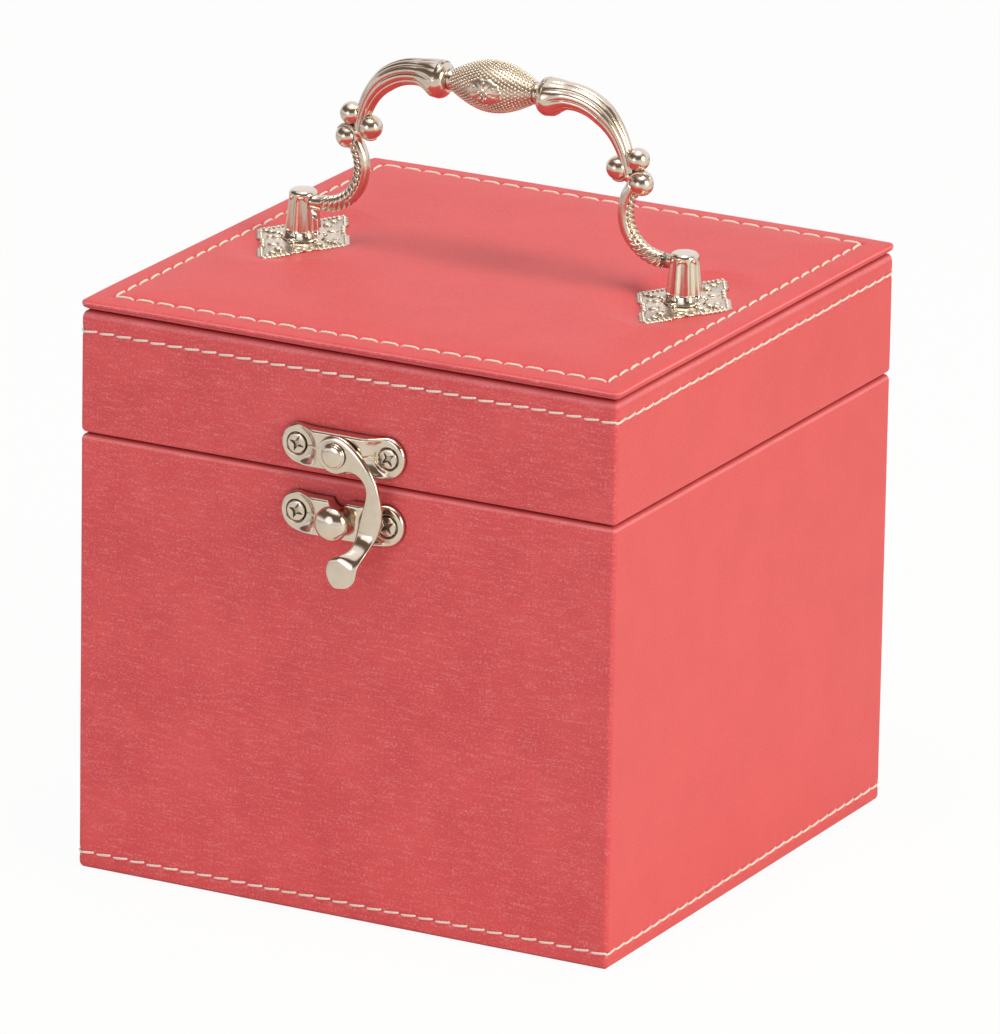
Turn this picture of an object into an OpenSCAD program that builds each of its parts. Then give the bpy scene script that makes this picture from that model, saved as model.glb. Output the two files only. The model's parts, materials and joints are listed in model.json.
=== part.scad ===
// Cube-shaped bobbin box: hinged lid, swing-hook clasp, folding handle, lift-out bobbin tray.
// Origin at the middle of the underside, +Z up, the clasp on the -Y face.

/* [Box] */
// Width of the box, left to right
box_w = 120; // [110:1:180]
// Depth of the box, front to back
box_d = 120; // [110:1:180]
// Height of the seam between base and lid
seam_z = 91.8; // [80:0.1:140]
// Height of the lid's sides, from the seam to the top panel
lid_side_h = 25.4; // [22:0.1:45]
// Thickness of the board
board_t = 3; // [2.4:0.1:5]
// Thickness of the leatherette
cover_t = 0.8; // [0.5:0.1:1.4]
// Thickness of the flock lining
lining_t = 0.8; // [0.5:0.1:1.4]
// Rounding of the upright edges
corner_r = 0.9; // [0.9:0.1:4]
// Rounding of the bottom edges
foot_r = 0.8; // [0.4:0.1:0.9]
// Rounding of the two edges at the seam
seam_r = 0.8; // [0.4:0.1:0.9]
// Thickness of the panel under the floor
underside_t = 0.3; // [0.3:0.1:1]
// Inset of that panel from the sides
underside_inset = 5; // [3:0.5:15]

/* [Top panel] */
// Thickness of the padded top panel
panel_t = 2.5; // [1.6:0.1:5]
// Overhang of the panel over the lid's sides
panel_over = 0.3; // [0:0.05:1]
// Rounding of the panel's upper and lower edges
panel_r = 0.8; // [0.4:0.05:0.85]

/* [Well and tray] */
// Height of the dividers in the well
divider_h = 34; // [20:1:45]
// Thickness of the dividers in the well
divider_t = 2.4; // [1.5:0.1:4]
// Height of the tray's underside
tray_z = 62; // [50:1:64]
// Height of the tray
tray_h = 26; // [20:1:27]
// Thickness of the tray's walls and floor
tray_wall = 1.6; // [1.2:0.1:2.4]
// Number of bobbin channels in the tray
channels = 4; // [3:1:5]
// Gap between the tray and the box's lining, each side
tray_gap = 1.2; // [0.8:0.1:2]
// Thickness of the tray's flock
tray_flock = 0.5; // [0.4:0.1:0.8]
// Width of a rail under the tray
rail_w = 3.2; // [2.5:0.1:6]
// Height of a rail under the tray
rail_h = 5; // [3:0.5:8]
// Width of a ribbon tab
tab_w = 12; // [8:1:20]
// Height of a ribbon tab over the tray's rim
tab_rise = 6; // [4:0.5:8]

/* [Clasp] */
// Length of a clasp plate
plate_len = 27.6; // [24:0.2:34]
// Height of a clasp plate
plate_wid = 8.6; // [8:0.1:11]
// Thickness of a clasp plate
plate_t = 1.3; // [1:0.1:2]
// Height of the plates' raised middle over the box's face
bridge_h = 3.2; // [2.6:0.1:4]
// Height of the hook's rivet over the seam
pivot_rise = 6.2; // [5.2:0.1:9]
// Depth of the knob below the seam
knob_drop = 7.7; // [6.7:0.1:9]
// Distance between a clasp plate's screws
clasp_screw_gap = 20.4; // [18:0.2:24]
// Thickness of the hook
hook_t = 1.4; // [0.9:0.1:1.6]
// Radius of the hook's round end
boss_r = 3.9; // [3.4:0.1:4.2]
// Distance of the finger tab over the box's face
tab_lift = 7.5; // [6.5:0.1:9]
// Radius of the hook's rivet
rivet_r = 1.6; // [1.2:0.1:1.9]
// Radius of the rivet's head
rivet_head_r = 2.6; // [2.2:0.1:3]
// Radius of the hook's finger tab
tab_r = 3.3; // [2.5:0.1:3.6]
// Radius of the knob's neck
neck_r = 2; // [1.6:0.1:2.1]
// Radius of the knob's head
knob_r = 3.6; // [2.9:0.1:3.7]
// Height of the knob's head
knob_head_h = 2.1; // [1.6:0.1:2.3]

/* [Handle] */
// Distance from the middle to each post
post_x = 43.2; // [41:0.1:46]
// Height of the posts over their plates
post_h = 9.6; // [9.4:0.1:14]
// Radius of a post at its foot
post_foot_r = 3.95; // [3.7:0.05:4.6]
// Radius of a post at its shoulder
post_top_r = 2.9; // [2.8:0.05:3.6]
// Height of the handle's axis over the plates
axis_rise = 7.2; // [6.4:0.1:7.6]
// Radius of the handle's end pins
trunnion_r = 1.5; // [1.2:0.1:1.7]
// Thickness of the pierced back plates
lozenge_t = 1; // [0.8:0.1:1.6]
// Depth that the back plates are pressed into the padding
plate_sink = 0.4; // [0:0.1:0.8]
// Half the width of a back plate
lozenge_x = 9.6; // [8:0.1:11]
// Half the length of a back plate
lozenge_y = 16.8; // [14:0.1:20]
// Radius of the scroll's centre line
scroll_r = 8.7; // [8.2:0.1:9.2]
// Radius of the twisted rod
rod_r = 1.65; // [1.4:0.05:1.9]
// Half the length of the grip
grip_half = 9.2; // [8.6:0.1:9.6]
// Radius of the grip's middle
grip_r = 5; // [4.2:0.1:5.6]
// Radius of the grip's ends
grip_end_r = 2; // [1.9:0.1:2.6]
// Height of the grip's axis over the handle's axis
grip_rise = 30.1; // [29:0.1:31]

/* [Hinges] */
// Distance from the middle to each hinge
hinge_x = 34; // [25:1:40]
// Width of a hinge
hinge_w = 24; // [18:1:30]
// Height of a hinge leaf, from the axis
leaf_h = 10; // [9:0.5:14]
// Thickness of a hinge leaf
leaf_t = 0.8; // [0.6:0.1:1]
// Radius of a hinge knuckle
knuckle_r = 1.7; // [1.5:0.1:2.2]
// Radius of a hinge pin
pin_r = 0.8; // [0.6:0.1:0.9]

/* [Screws and fits] */
// Radius of a small screw's shank
screw_r = 0.9; // [0.7:0.1:1]
// Radius of a clasp screw's head
clasp_head_r = 1.95; // [1.7:0.05:2.2]
// Radius of a hinge screw's head
hinge_head_r = 1.6; // [1.4:0.05:1.8]
// Radius of a post screw's shank
post_screw_r = 1.5; // [1:0.1:1.6]
// Radius of a post screw's head
post_screw_head_r = 2.9; // [2.5:0.1:3.4]
// Gap of a running fit
run_fit = 0.05; // [0.03:0.01:0.08]
// Gap between lid and base at the seam
seam_gap = 0.1; // [0.06:0.02:0.3]
// Gap between hinge knuckles and round the leaves
side_gap = 0.2; // [0.15:0.05:0.3]

/* [Hidden] */
$fn = 48;

// Colours
leather = [0.91, 0.42, 0.41];
flock = [0.80, 0.45, 0.48];
card = [0.80, 0.70, 0.55];
nickel = [0.78, 0.73, 0.68];
ribbon = [0.85, 0.35, 0.40];

// Heights of the box's layers
base_bottom = underside_t;
rim_z = seam_z - seam_gap / 2;
lid_rim_z = seam_z + seam_gap / 2;
lid_top_z = seam_z + lid_side_h;
panel_top_z = lid_top_z + panel_t;
floor_z = base_bottom + cover_t + board_t + lining_t;
ceiling_z = lid_top_z - cover_t - board_t - lining_t;

// Widths and depths of the layers: over the board, and inside the lining
board_w = box_w - 2 * cover_t;
board_d = box_d - 2 * cover_t;
lined_w = board_w - 2 * board_t;
lined_d = board_d - 2 * board_t;
inner_w = lined_w - 2 * lining_t;
inner_d = lined_d - 2 * lining_t;

// Tray
tray_w = inner_w - 2 * tray_gap;
tray_d = inner_d - 2 * tray_gap;
channel_w = (tray_w - (channels + 1) * tray_wall) / channels;
tray_floor_z = tray_z + tray_wall;

// Clasp
pivot_z = seam_z + pivot_rise;
knob_z = seam_z - knob_drop;
hook_lift = bridge_h + 0.1;
neck_len = hook_t + 0.5;
hook_reach = pivot_rise + knob_drop;
neck_x = [0.388, 0.64];
neck_top = -1.151;
neck_low = -1.5;
tab_at = [0.28, -1.62];
screw_depth = cover_t + board_t - 0.4;

// Handle
plate_z = panel_top_z - plate_sink;
post_z = plate_z + lozenge_t;
axis_z = post_z + axis_rise;
post_inner_r = post_foot_r - (post_foot_r - post_top_r) * axis_rise / post_h;
trunnion_end = post_x + 1.2;
scroll_x = post_x - 4.6;
scallop_r = 1.15;
horn_start = [scroll_x - 8.4, 15.6];
horn_end = [grip_half + 3.3, grip_rise - 0.15];
horn_lean = [scroll_x - 10.6, 28.8];
horn_reach = [scroll_x - 19.1, 32.1];

// Hinges
hinge_y = box_d / 2 + knuckle_r + 0.2;
knuckle_len = hinge_w / 5;
hinge_screw_x = hinge_w / 2 - 4;
hinge_screw_z = leaf_h - 3.2;

// ---- Helpers ----

// Points of an arc, with the angle running from a0 to a1
function arc(cx, cy, r, a0, a1, steps) =
    [for (i = [0:steps]) let (a = a0 + (a1 - a0) * i / steps) [cx + r * cos(a), cy + r * sin(a)]];

// Block with rounded upright edges and rounded lower and upper edges
module rounded_block(w, d, z0, z1, low_r, high_r) {
    profile = concat(
        [[0, z0]],
        arc(corner_r - low_r, z0 + low_r, low_r, -90, 0, 4),
        arc(corner_r - high_r, z1 - high_r, high_r, 0, 90, 4),
        [[0, z1]]);
    hull()
        for (sx = [-1, 1], sy = [-1, 1])
            translate([sx * (w / 2 - corner_r), sy * (d / 2 - corner_r), 0])
                rotate_extrude($fn = 24) polygon(profile);
}

// Plain block, centred on X and Y, between two heights
module block(w, d, z0, z1) {
    translate([-w / 2, -d / 2, z0]) cube([w, d, z1 - z0]);
}

// Places children on the front face: their X stays, their Y points up, their Z points out
module on_front(x, z) {
    translate([x, -box_d / 2, z]) rotate([90, 0, 0]) children();
}

// Places children on the rear face in the same way
module on_rear(x, z) {
    mirror([0, 1, 0]) on_front(x, z) children();
}

// Countersunk screw with a cross recess; Z = 0 is the face it is driven into
module screw(head_r, seat, depth) {
    difference() {
        union() {
            translate([0, 0, -depth]) cylinder(r = screw_r, h = depth + seat);
            translate([0, 0, seat - (head_r - screw_r)])
                cylinder(r1 = screw_r, r2 = head_r, h = head_r - screw_r);
            translate([0, 0, seat]) cylinder(r1 = head_r, r2 = head_r - 0.4, h = 0.2);
        }
        for (turn = [20, 110])
            rotate(turn) translate([-head_r * 0.6, -0.25, seat - 0.35])
                cube([head_r * 1.2, 0.5, 1]);
    }
}

// Hole for such a screw in a plate
module screw_seat(head_r, seat) {
    translate([0, 0, -1]) cylinder(r = screw_r + run_fit, h = seat + 2);
    translate([0, 0, seat - (head_r - screw_r)])
        cylinder(r1 = screw_r + run_fit, r2 = head_r + run_fit, h = head_r - screw_r);
    translate([0, 0, seat]) cylinder(r = head_r + run_fit, h = 1);
}

// Pilot hole for such a screw in the box's wall
module pilot() {
    translate([0, 0, -screw_depth]) cylinder(r = screw_r + run_fit, h = screw_depth + 1);
}

module clasp_pilots(z) {
    for (sx = [-1, 1]) on_front(sx * clasp_screw_gap / 2, z) pilot();
}

module hinge_pilots(side) {
    for (hx = [-hinge_x, hinge_x], sx = [-1, 1])
        on_rear(hx + sx * hinge_screw_x, seam_z + side * hinge_screw_z) pilot();
}

module post_screw_holes() {
    for (sx = [-1, 1])
        translate([sx * post_x, 0, ceiling_z])
            cylinder(r = post_screw_r + run_fit, h = panel_t + 20);
}

// ---- Base ----

module base_hollow(w, d) {
    block(w, d, floor_z, seam_z + 1);
}

module base_board() {
    color(card) difference() {
        block(board_w, board_d, base_bottom + cover_t, rim_z - cover_t);
        block(lined_w, lined_d, floor_z - lining_t, seam_z);
        clasp_pilots(knob_z);
        hinge_pilots(-1);
    }
}

module base_cover() {
    color(leather) difference() {
        rounded_block(box_w, box_d, base_bottom, rim_z, foot_r, seam_r);
        block(board_w, board_d, base_bottom + cover_t, rim_z - cover_t);
        base_hollow(inner_w, inner_d);
        clasp_pilots(knob_z);
        hinge_pilots(-1);
    }
}

module base_lining() {
    color(flock) difference() {
        block(lined_w, lined_d, floor_z - lining_t, rim_z - cover_t);
        base_hollow(inner_w, inner_d);
    }
}

module underside_panel() {
    color(leather)
        block(box_w - 2 * underside_inset, box_d - 2 * underside_inset, 0, underside_t);
}

// Half-height slot where the two dividers cross
module divider_slot(z0) {
    block(divider_t + 2 * run_fit, divider_t + 2 * run_fit, z0, z0 + divider_h);
}

module long_divider() {
    color(flock) difference() {
        block(inner_w - 2 * side_gap, divider_t, floor_z, floor_z + divider_h);
        divider_slot(floor_z + divider_h / 2);
    }
}

module cross_divider() {
    color(flock) difference() {
        block(divider_t, inner_d - 2 * side_gap, floor_z, floor_z + divider_h);
        divider_slot(floor_z - divider_h / 2);
    }
}

// Rails glued to the side walls, with a sloping underside
module tray_rails() {
    rail = [[0, 0], [rail_w, 0], [rail_w, -rail_h + rail_w], [0, -rail_h]];
    color(flock)
        for (side = [0, 1])
            mirror([side, 0, 0])
                translate([-inner_w / 2, (inner_d - 20) / 2, tray_z])
                    rotate([90, 0, 0]) linear_extrude(inner_d - 20) polygon(rail);
}

// ---- Clasp ----

module stadium(len, wid) {
    square([len - wid, wid], center = true);
    for (sx = [-1, 1]) translate([sx * (len - wid) / 2, 0]) circle(d = wid);
}

// Stamped plate: flat ends with screw seats, and a raised middle with sloping sides
module clasp_plate(hole_r) {
    foot = plate_len / 2 - 7;
    crown = foot - 1.5;
    difference() {
        union() {
            linear_extrude(plate_t) stadium(plate_len, plate_wid);
            translate([0, plate_wid / 2, 0]) rotate([90, 0, 0]) linear_extrude(plate_wid)
                polygon([[-foot, 0], [foot, 0], [foot, plate_t],
                    [crown, bridge_h], [-crown, bridge_h], [-foot, plate_t]]);
        }
        for (sx = [-1, 1])
            translate([sx * clasp_screw_gap / 2, 0, 0]) screw_seat(clasp_head_r, plate_t);
        translate([0, 0, -1]) cylinder(r = hole_r + run_fit, h = bridge_h + 2);
    }
}

module knob_plate() {
    notch_r = 2;
    color(nickel) on_front(0, knob_z) difference() {
        clasp_plate(rivet_r);
        translate([0, plate_wid / 2 + 0.6, -1]) cylinder(r = notch_r, h = bridge_h + 2);
    }
}

// Knob: tail in the plate, neck for the hook, domed head
module clasp_knob() {
    head_z = bridge_h + neck_len;
    dome_r = (knob_r * knob_r + knob_head_h * knob_head_h) / (2 * knob_head_h);
    color(nickel) on_front(0, knob_z) {
        translate([0, 0, 0.1]) cylinder(r = rivet_r, h = bridge_h);
        translate([0, 0, bridge_h]) cylinder(r = neck_r, h = neck_len);
        rotate_extrude()
            polygon(concat(
                [[0, head_z], [knob_r, head_z]],
                arc(0, head_z + 0.4 + knob_head_h - dome_r, dome_r,
                    acos(knob_r / dome_r), 90, 10)));
    }
}

module knob_plate_screws() {
    color(nickel) for (sx = [-1, 1])
        on_front(sx * clasp_screw_gap / 2, knob_z) screw(clasp_head_r, plate_t, screw_depth);
}

module hook_plate() {
    color(nickel) on_front(0, pivot_z) clasp_plate(rivet_r);
}

module hook_rivet() {
    head_z = hook_lift + hook_t + 0.1;
    color(nickel) on_front(0, pivot_z) {
        translate([0, 0, 0.1]) cylinder(r = rivet_r, h = head_z);
        rotate_extrude()
            polygon(concat([[0, head_z], [rivet_head_r, head_z]],
                arc(0, head_z - rivet_head_r, rivet_head_r * sqrt(2), 45, 90, 6)));
    }
}

module hook_plate_screws() {
    color(nickel) for (sx = [-1, 1])
        on_front(sx * clasp_screw_gap / 2, pivot_z) screw(clasp_head_r, plate_t, screw_depth);
}

// Outline of the hook's flat part, about its rivet: round end, throat, arm.
// All but the round end is in shares of the distance from rivet to knob.
function hook_outline() = concat(
    arc(0, 0, boss_r, 62, 285, 24),
    hook_reach * concat(
        arc(0.237, -0.496, 0.28, 100, -25, 14),
        [[0.453, -0.748], [0.396, -0.849], [0.378, -0.957], [0.388, -1.072],
            [neck_x[0], neck_top], [neck_x[1], neck_top]],
        arc(-0.54, -0.69, 1.266, -21, 52, 20)));

// The neck bends outward from the flat arm to the finger tab
module hook() {
    slice = 0.05;
    color(nickel) on_front(0, pivot_z) {
        difference() {
            translate([0, 0, hook_lift]) linear_extrude(hook_t) polygon(hook_outline());
            cylinder(r = rivet_r + run_fit, h = hook_lift + hook_t + 1);
        }
        hull() {
            translate([neck_x[0] * hook_reach, neck_top * hook_reach, hook_lift])
                cube([(neck_x[1] - neck_x[0]) * hook_reach, slice, hook_t]);
            translate([tab_at[0] * hook_reach, neck_low * hook_reach, tab_lift])
                cube([tab_r, slice, hook_t]);
        }
        translate([tab_at[0] * hook_reach, tab_at[1] * hook_reach, tab_lift])
            cylinder(r = tab_r, h = hook_t);
    }
}

// ---- Lid ----

module lid_board() {
    color(card) difference() {
        block(board_w, board_d, lid_rim_z + cover_t, lid_top_z - cover_t);
        block(lined_w, lined_d, seam_z, ceiling_z + lining_t);
        clasp_pilots(pivot_z);
        hinge_pilots(1);
        post_screw_holes();
        for (sx = [-1, 1])
            translate([sx * post_x, 0, ceiling_z])
                cylinder(r = post_screw_head_r + run_fit, h = lining_t + 1.5);
    }
}

module lid_cover() {
    color(leather) difference() {
        rounded_block(box_w, box_d, lid_rim_z, lid_top_z, seam_r, panel_r);
        block(board_w, board_d, lid_rim_z + cover_t, lid_top_z - cover_t);
        block(inner_w, inner_d, seam_z - 1, lid_rim_z + 2 * cover_t);
        clasp_pilots(pivot_z);
        hinge_pilots(1);
        post_screw_holes();
    }
}

module lid_lining() {
    color(flock) difference() {
        block(lined_w, lined_d, lid_rim_z + cover_t, ceiling_z + lining_t);
        block(inner_w, inner_d, seam_z, ceiling_z);
    }
}

// Padded panel, with a pocket where each back plate is pressed in
module top_panel() {
    spread = (scallop_r + run_fit) * norm([lozenge_x, lozenge_y]);
    pocket_x = lozenge_x + spread / lozenge_y;
    pocket_y = lozenge_y + spread / lozenge_x;
    color(leather) difference() {
        rounded_block(box_w + 2 * panel_over, box_d + 2 * panel_over,
            lid_top_z, panel_top_z, panel_r, panel_r);
        for (sx = [-1, 1]) translate([sx * post_x, 0, plate_z]) linear_extrude(lozenge_t)
            polygon([[pocket_x, 0], [0, pocket_y], [-pocket_x, 0], [0, -pocket_y]]);
        post_screw_holes();
    }
}

// ---- Handle ----

// Corner to corner along one edge of the back plate, as a share from 0 to 1
function edge_point(corner, share) =
    let (a = 90 * corner, b = a + 90)
    [lozenge_x * (cos(a) * (1 - share) + cos(b) * share),
     lozenge_y * (sin(a) * (1 - share) + sin(b) * share)];

// Pierced lozenge plate with a scalloped edge
module back_plate() {
    scallops = 8;
    color(nickel) translate([0, 0, plate_z]) difference() {
        linear_extrude(lozenge_t) {
            polygon([for (i = [0:3]) edge_point(i, 0)]);
            for (i = [0:3], k = [0:scallops - 1])
                translate(edge_point(i, (k + 0.5) / scallops)) circle(r = scallop_r, $fn = 20);
            for (i = [0:3]) translate(edge_point(i, 0)) circle(r = scallop_r, $fn = 20);
        }
        for (i = [0:3], share = [0.22, 0.5, 0.78])
            translate([0, 0, -1])
                translate(edge_point(i, share) * (share == 0.5 ? 0.74 : 0.8))
                    cylinder(r = share == 0.5 ? 0.9 : 0.65, h = lozenge_t + 2, $fn = 20);
        translate([0, 0, -1]) cylinder(r = post_screw_r + run_fit, h = lozenge_t + 2);
    }
}

// Fluted post: petal foot, tapered fluted column, chamfered flat top and keyhole
module post() {
    flutes = 10;
    flute_r = 0.7;
    petals = 8;
    petal_r = 1.3;
    chamfer = 0.7;
    shoulder = post_h - chamfer;
    lean = atan((post_foot_r - post_top_r) / shoulder);
    color(nickel) difference() {
        translate([0, 0, post_z]) {
            difference() {
                cylinder(r1 = post_foot_r, r2 = post_top_r, h = shoulder);
                for (i = [0:flutes - 1])
                    rotate((i + 0.5) * 360 / flutes) translate([post_foot_r + 0.25, 0, 0.9])
                        rotate([0, -lean, 0]) cylinder(r = flute_r, h = shoulder - 1.5, $fn = 20);
            }
            translate([0, 0, shoulder])
                cylinder(r1 = post_top_r, r2 = post_top_r - chamfer, h = chamfer);
            for (i = [0:petals - 1]) rotate(i * 360 / petals)
                translate([post_foot_r - petal_r / 2, 0, 0])
                    cylinder(r = petal_r, h = 0.8, $fn = 20);
        }
        translate([0, 0, post_z - 1])
            cylinder(r = post_screw_r + run_fit, h = axis_rise - trunnion_r - 0.6 + 1);
        translate([-10, 0, axis_z]) rotate([0, 90, 0])
            cylinder(r = trunnion_r + run_fit, h = 10 + trunnion_end - post_x + 0.2);
        translate([-10, -0.75, axis_z - trunnion_r - 1.4]) cube([8.6, 1.5, 1.8]);
    }
}

module post_screws() {
    head_z = ceiling_z + lining_t;
    color(nickel) for (sx = [-1, 1]) translate([sx * post_x, 0, 0]) {
        translate([0, 0, head_z]) cylinder(r = post_screw_head_r, h = 1.4);
        translate([0, 0, head_z])
            cylinder(r = post_screw_r, h = axis_z - trunnion_r - 0.8 - head_z);
    }
}

// One ring of a sweep in the XZ plane: p is its centre, t its direction, and the
// radius list runs round it from the side that faces right of the direction
function ring(p, t, radii) =
    [for (j = [0:len(radii) - 1]) let (a = 360 * j / len(radii))
        [p[0] + radii[j] * cos(a) * t[1], radii[j] * sin(a), p[1] - radii[j] * cos(a) * t[0]]];

// Solid swept through equal rings
module skin(rings) {
    n = len(rings);
    m = len(rings[0]);
    points = [for (r = rings) each r];
    sides = [for (i = [0:n - 2], j = [0:m - 1])
        let (a = i * m + j, b = i * m + (j + 1) % m) each [[a, b + m, b], [a, a + m, b + m]]];
    first = [for (j = [1:m - 2]) [0, j, j + 1]];
    last = [for (j = [1:m - 2]) [0, j + 1, j] + [1, 1, 1] * (n - 1) * m];
    polyhedron(points, concat(sides, first, last), convexity = 6);
}

// Twisted rod of the scroll, with a plain ridge along its outer side
module twisted_scroll() {
    steps = 64;
    sides = 12;
    turns = 4.2;
    rings = [for (i = [0:steps])
        let (s = i / steps, a = 270 - 128 * s,
            p = [scroll_x + scroll_r * cos(a), axis_z + scroll_r + scroll_r * sin(a)],
            t = [sin(a), -cos(a)])
        ring(p, t, [for (j = [0:sides - 1]) let (b = 360 * j / sides)
            cos(b) < -0.8 ? rod_r + 0.25
                : rod_r * (1 + 0.13 * cos(3 * b + 360 * 3 * turns * s))])];
    skin(rings);
}

function bezier(a, b, c, d, s) = a * pow(1 - s, 3) + b * 3 * s * pow(1 - s, 2)
    + c * 3 * s * s * (1 - s) + d * pow(s, 3);

function unit(v) = v / norm(v);

// Fluted horn, swelling from the scroll to a rounded bell beside the grip
module horn() {
    steps = 16;
    sides = 24;
    at = function(s) [0, axis_z] + bezier(horn_start, horn_lean, horn_reach, horn_end, s);
    bell_r = 3.95;
    bell_len = 2.4;
    bell_drop = 2.1;
    fluted = function(r, depth) [for (j = [0:sides - 1]) r * (1 + depth * cos(8 * 360 * j / sides))];
    body = [for (i = [0:steps]) let (s = i / steps, e = 0.01)
        ring(at(s), unit(at(s + e) - at(s - e)),
            fluted(1.75 + 0.9 * s + 1.3 * pow(s, 3), 0.06 * (1 - s)))];
    lip = [for (a = [20, 40, 60, 75, 88])
        ring(at(1) - [bell_len * sin(a), 0], [-1, 0], fluted(bell_r - bell_drop * (1 - cos(a)), 0))];
    skin(concat(body, lip));
}

// Arm of the handle, drawn for the right side
module handle_arm() {
    balls = [[scroll_x - 5.2, 15, 2.75], [scroll_x - 10.4, 17.8, 3], [scroll_x - 6.4, 19.8, 2.5],
        [scroll_x - 8.2, 16.4, 2.4]];
    color(nickel) {
        translate([scroll_x - 0.2, 0, axis_z]) rotate([0, 90, 0])
            cylinder(r = trunnion_r, h = trunnion_end - scroll_x + 0.2);
        twisted_scroll();
        horn();
        for (ball = balls) translate([ball[0], 0, axis_z + ball[1]]) sphere(r = ball[2]);
        translate([grip_half - 4, 0, axis_z + grip_rise]) rotate([0, 90, 0])
            cylinder(r = grip_end_r - 0.5, h = 6);
        translate([grip_half + 0.02, 0, axis_z + grip_rise]) rotate([0, 90, 0])
            cylinder(r = grip_end_r - 0.1, h = 1.6);
    }
}

// Oval grip with ribs of beading and a smooth medallion front and back
module handle_grip() {
    steps = 96;
    ribs = 13;
    profile = [for (i = [0:steps]) let (x = grip_half * (2 * i / steps - 1))
        [grip_end_r + (grip_r - grip_end_r) * cos(90 * x / grip_half)
            + 0.22 * abs(sin(180 * ribs * i / steps)), x]];
    color(nickel) translate([0, 0, axis_z + grip_rise]) difference() {
        union() {
            rotate([0, 90, 0]) rotate_extrude()
                polygon(concat([[0, -grip_half]], profile, [[0, grip_half]]));
            rotate([90, 0, 0]) cylinder(r = 2.9, h = 2 * grip_r + 0.5, center = true);
        }
        for (side = [0, 1]) mirror([side, 0, 0])
            translate([grip_half - 4.2, 0, 0]) rotate([0, 90, 0])
                cylinder(r = grip_end_r - 0.5 + run_fit, h = 5);
    }
}

// ---- Hinges ----

// Hinge leaf with its knuckles; up = 1 is the lid's leaf, up = -1 the base's
module hinge_leaf(up) {
    mine = up < 0 ? [0, 2, 4] : [1, 3];
    color(nickel) difference() {
        union() {
            translate([-hinge_w / 2, box_d / 2, seam_z + (up < 0 ? -leaf_h : knuckle_r + side_gap)])
                cube([hinge_w, leaf_t, leaf_h - knuckle_r - side_gap]);
            for (k = mine) translate([-hinge_w / 2 + k * knuckle_len + side_gap / 2, 0, 0]) {
                translate([0, box_d / 2, seam_z + (up < 0 ? -knuckle_r - 1 : 0)])
                    cube([knuckle_len - side_gap, leaf_t, knuckle_r + 1]);
                translate([0, hinge_y, seam_z]) rotate([0, 90, 0])
                    cylinder(r = knuckle_r, h = knuckle_len - side_gap);
            }
        }
        translate([-hinge_w, hinge_y, seam_z]) rotate([0, 90, 0])
            cylinder(r = pin_r + run_fit, h = 2 * hinge_w);
        for (sx = [-1, 1]) on_rear(sx * hinge_screw_x, seam_z + up * hinge_screw_z)
            screw_seat(hinge_head_r, leaf_t);
    }
}

module hinge_pin() {
    color(nickel) translate([-hinge_w / 2 - 0.4, hinge_y, seam_z]) rotate([0, 90, 0]) {
        cylinder(r = pin_r, h = hinge_w + 0.8);
        for (z = [0, hinge_w + 0.8 - 0.5 + side_gap / 2])
            translate([0, 0, z - side_gap / 4]) cylinder(r = pin_r + 0.4, h = 0.4);
    }
}

module hinge_screws(up) {
    color(nickel) for (hx = [-hinge_x, hinge_x], sx = [-1, 1])
        on_rear(hx + sx * hinge_screw_x, seam_z + up * hinge_screw_z)
            screw(hinge_head_r, leaf_t, screw_depth);
}

// ---- Tray ----

module tray_body() {
    color(flock) difference() {
        block(tray_w, tray_d, tray_z, tray_z + tray_h);
        block(tray_w - 2 * tray_wall, tray_d - 2 * tray_wall, tray_floor_z, tray_z + tray_h + 1);
    }
}

module tray_lining() {
    color(flock)
        block(tray_w - 2 * tray_wall, tray_d - 2 * tray_wall, tray_floor_z,
            tray_floor_z + tray_flock);
}

// Boards between the channels, scooped in the middle so that fingers reach the bobbins
module tray_dividers() {
    scoop_r = 60;
    scoop_depth = 9;
    top = tray_z + tray_h;
    color(flock) for (i = [1:channels - 1])
        translate([-tray_w / 2 + i * (channel_w + tray_wall), 0, 0]) difference() {
            translate([0, -tray_d / 2 + tray_wall, tray_floor_z + tray_flock])
                cube([tray_wall, tray_d - 2 * tray_wall, tray_h - tray_wall - tray_flock]);
            translate([-1, 0, top + scoop_r - scoop_depth]) rotate([0, 90, 0])
                cylinder(r = scoop_r, h = tray_wall + 2, $fn = 96);
        }
}

// Folded ribbon loops inside the tray's end walls
module tray_tabs() {
    ribbon_t = tray_flock;
    glued = 0.4 * tray_h;
    top = tray_z + tray_h;
    color(ribbon) for (side = [0, 1]) mirror([side, 0, 0])
        translate([tray_w / 2 - tray_wall - 2 * ribbon_t, -tab_w / 2, top - glued]) {
            cube([2 * ribbon_t, tab_w, glued + tab_rise - ribbon_t]);
            translate([ribbon_t, 0, glued + tab_rise - ribbon_t]) rotate([-90, 0, 0])
                cylinder(r = ribbon_t, h = tab_w, $fn = 24);
        }
}

base_board();
base_cover();
base_lining();
underside_panel();
long_divider();
cross_divider();
tray_rails();
knob_plate();
clasp_knob();
knob_plate_screws();
translate([-hinge_x, 0, 0]) hinge_leaf(-1);  // left_hinge_base_leaf
translate([hinge_x, 0, 0]) hinge_leaf(-1);  // right_hinge_base_leaf
translate([-hinge_x, 0, 0]) hinge_pin();  // left_hinge_pin
translate([hinge_x, 0, 0]) hinge_pin();  // right_hinge_pin
hinge_screws(-1);  // base_hinge_screws
lid_board();
lid_cover();
lid_lining();
top_panel();
hook_plate();
hook_rivet();
hook_plate_screws();
translate([-hinge_x, 0, 0]) hinge_leaf(1);  // left_hinge_lid_leaf
translate([hinge_x, 0, 0]) hinge_leaf(1);  // right_hinge_lid_leaf
hinge_screws(1);  // lid_hinge_screws
translate([-post_x, 0, 0]) back_plate();  // left_back_plate
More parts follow.
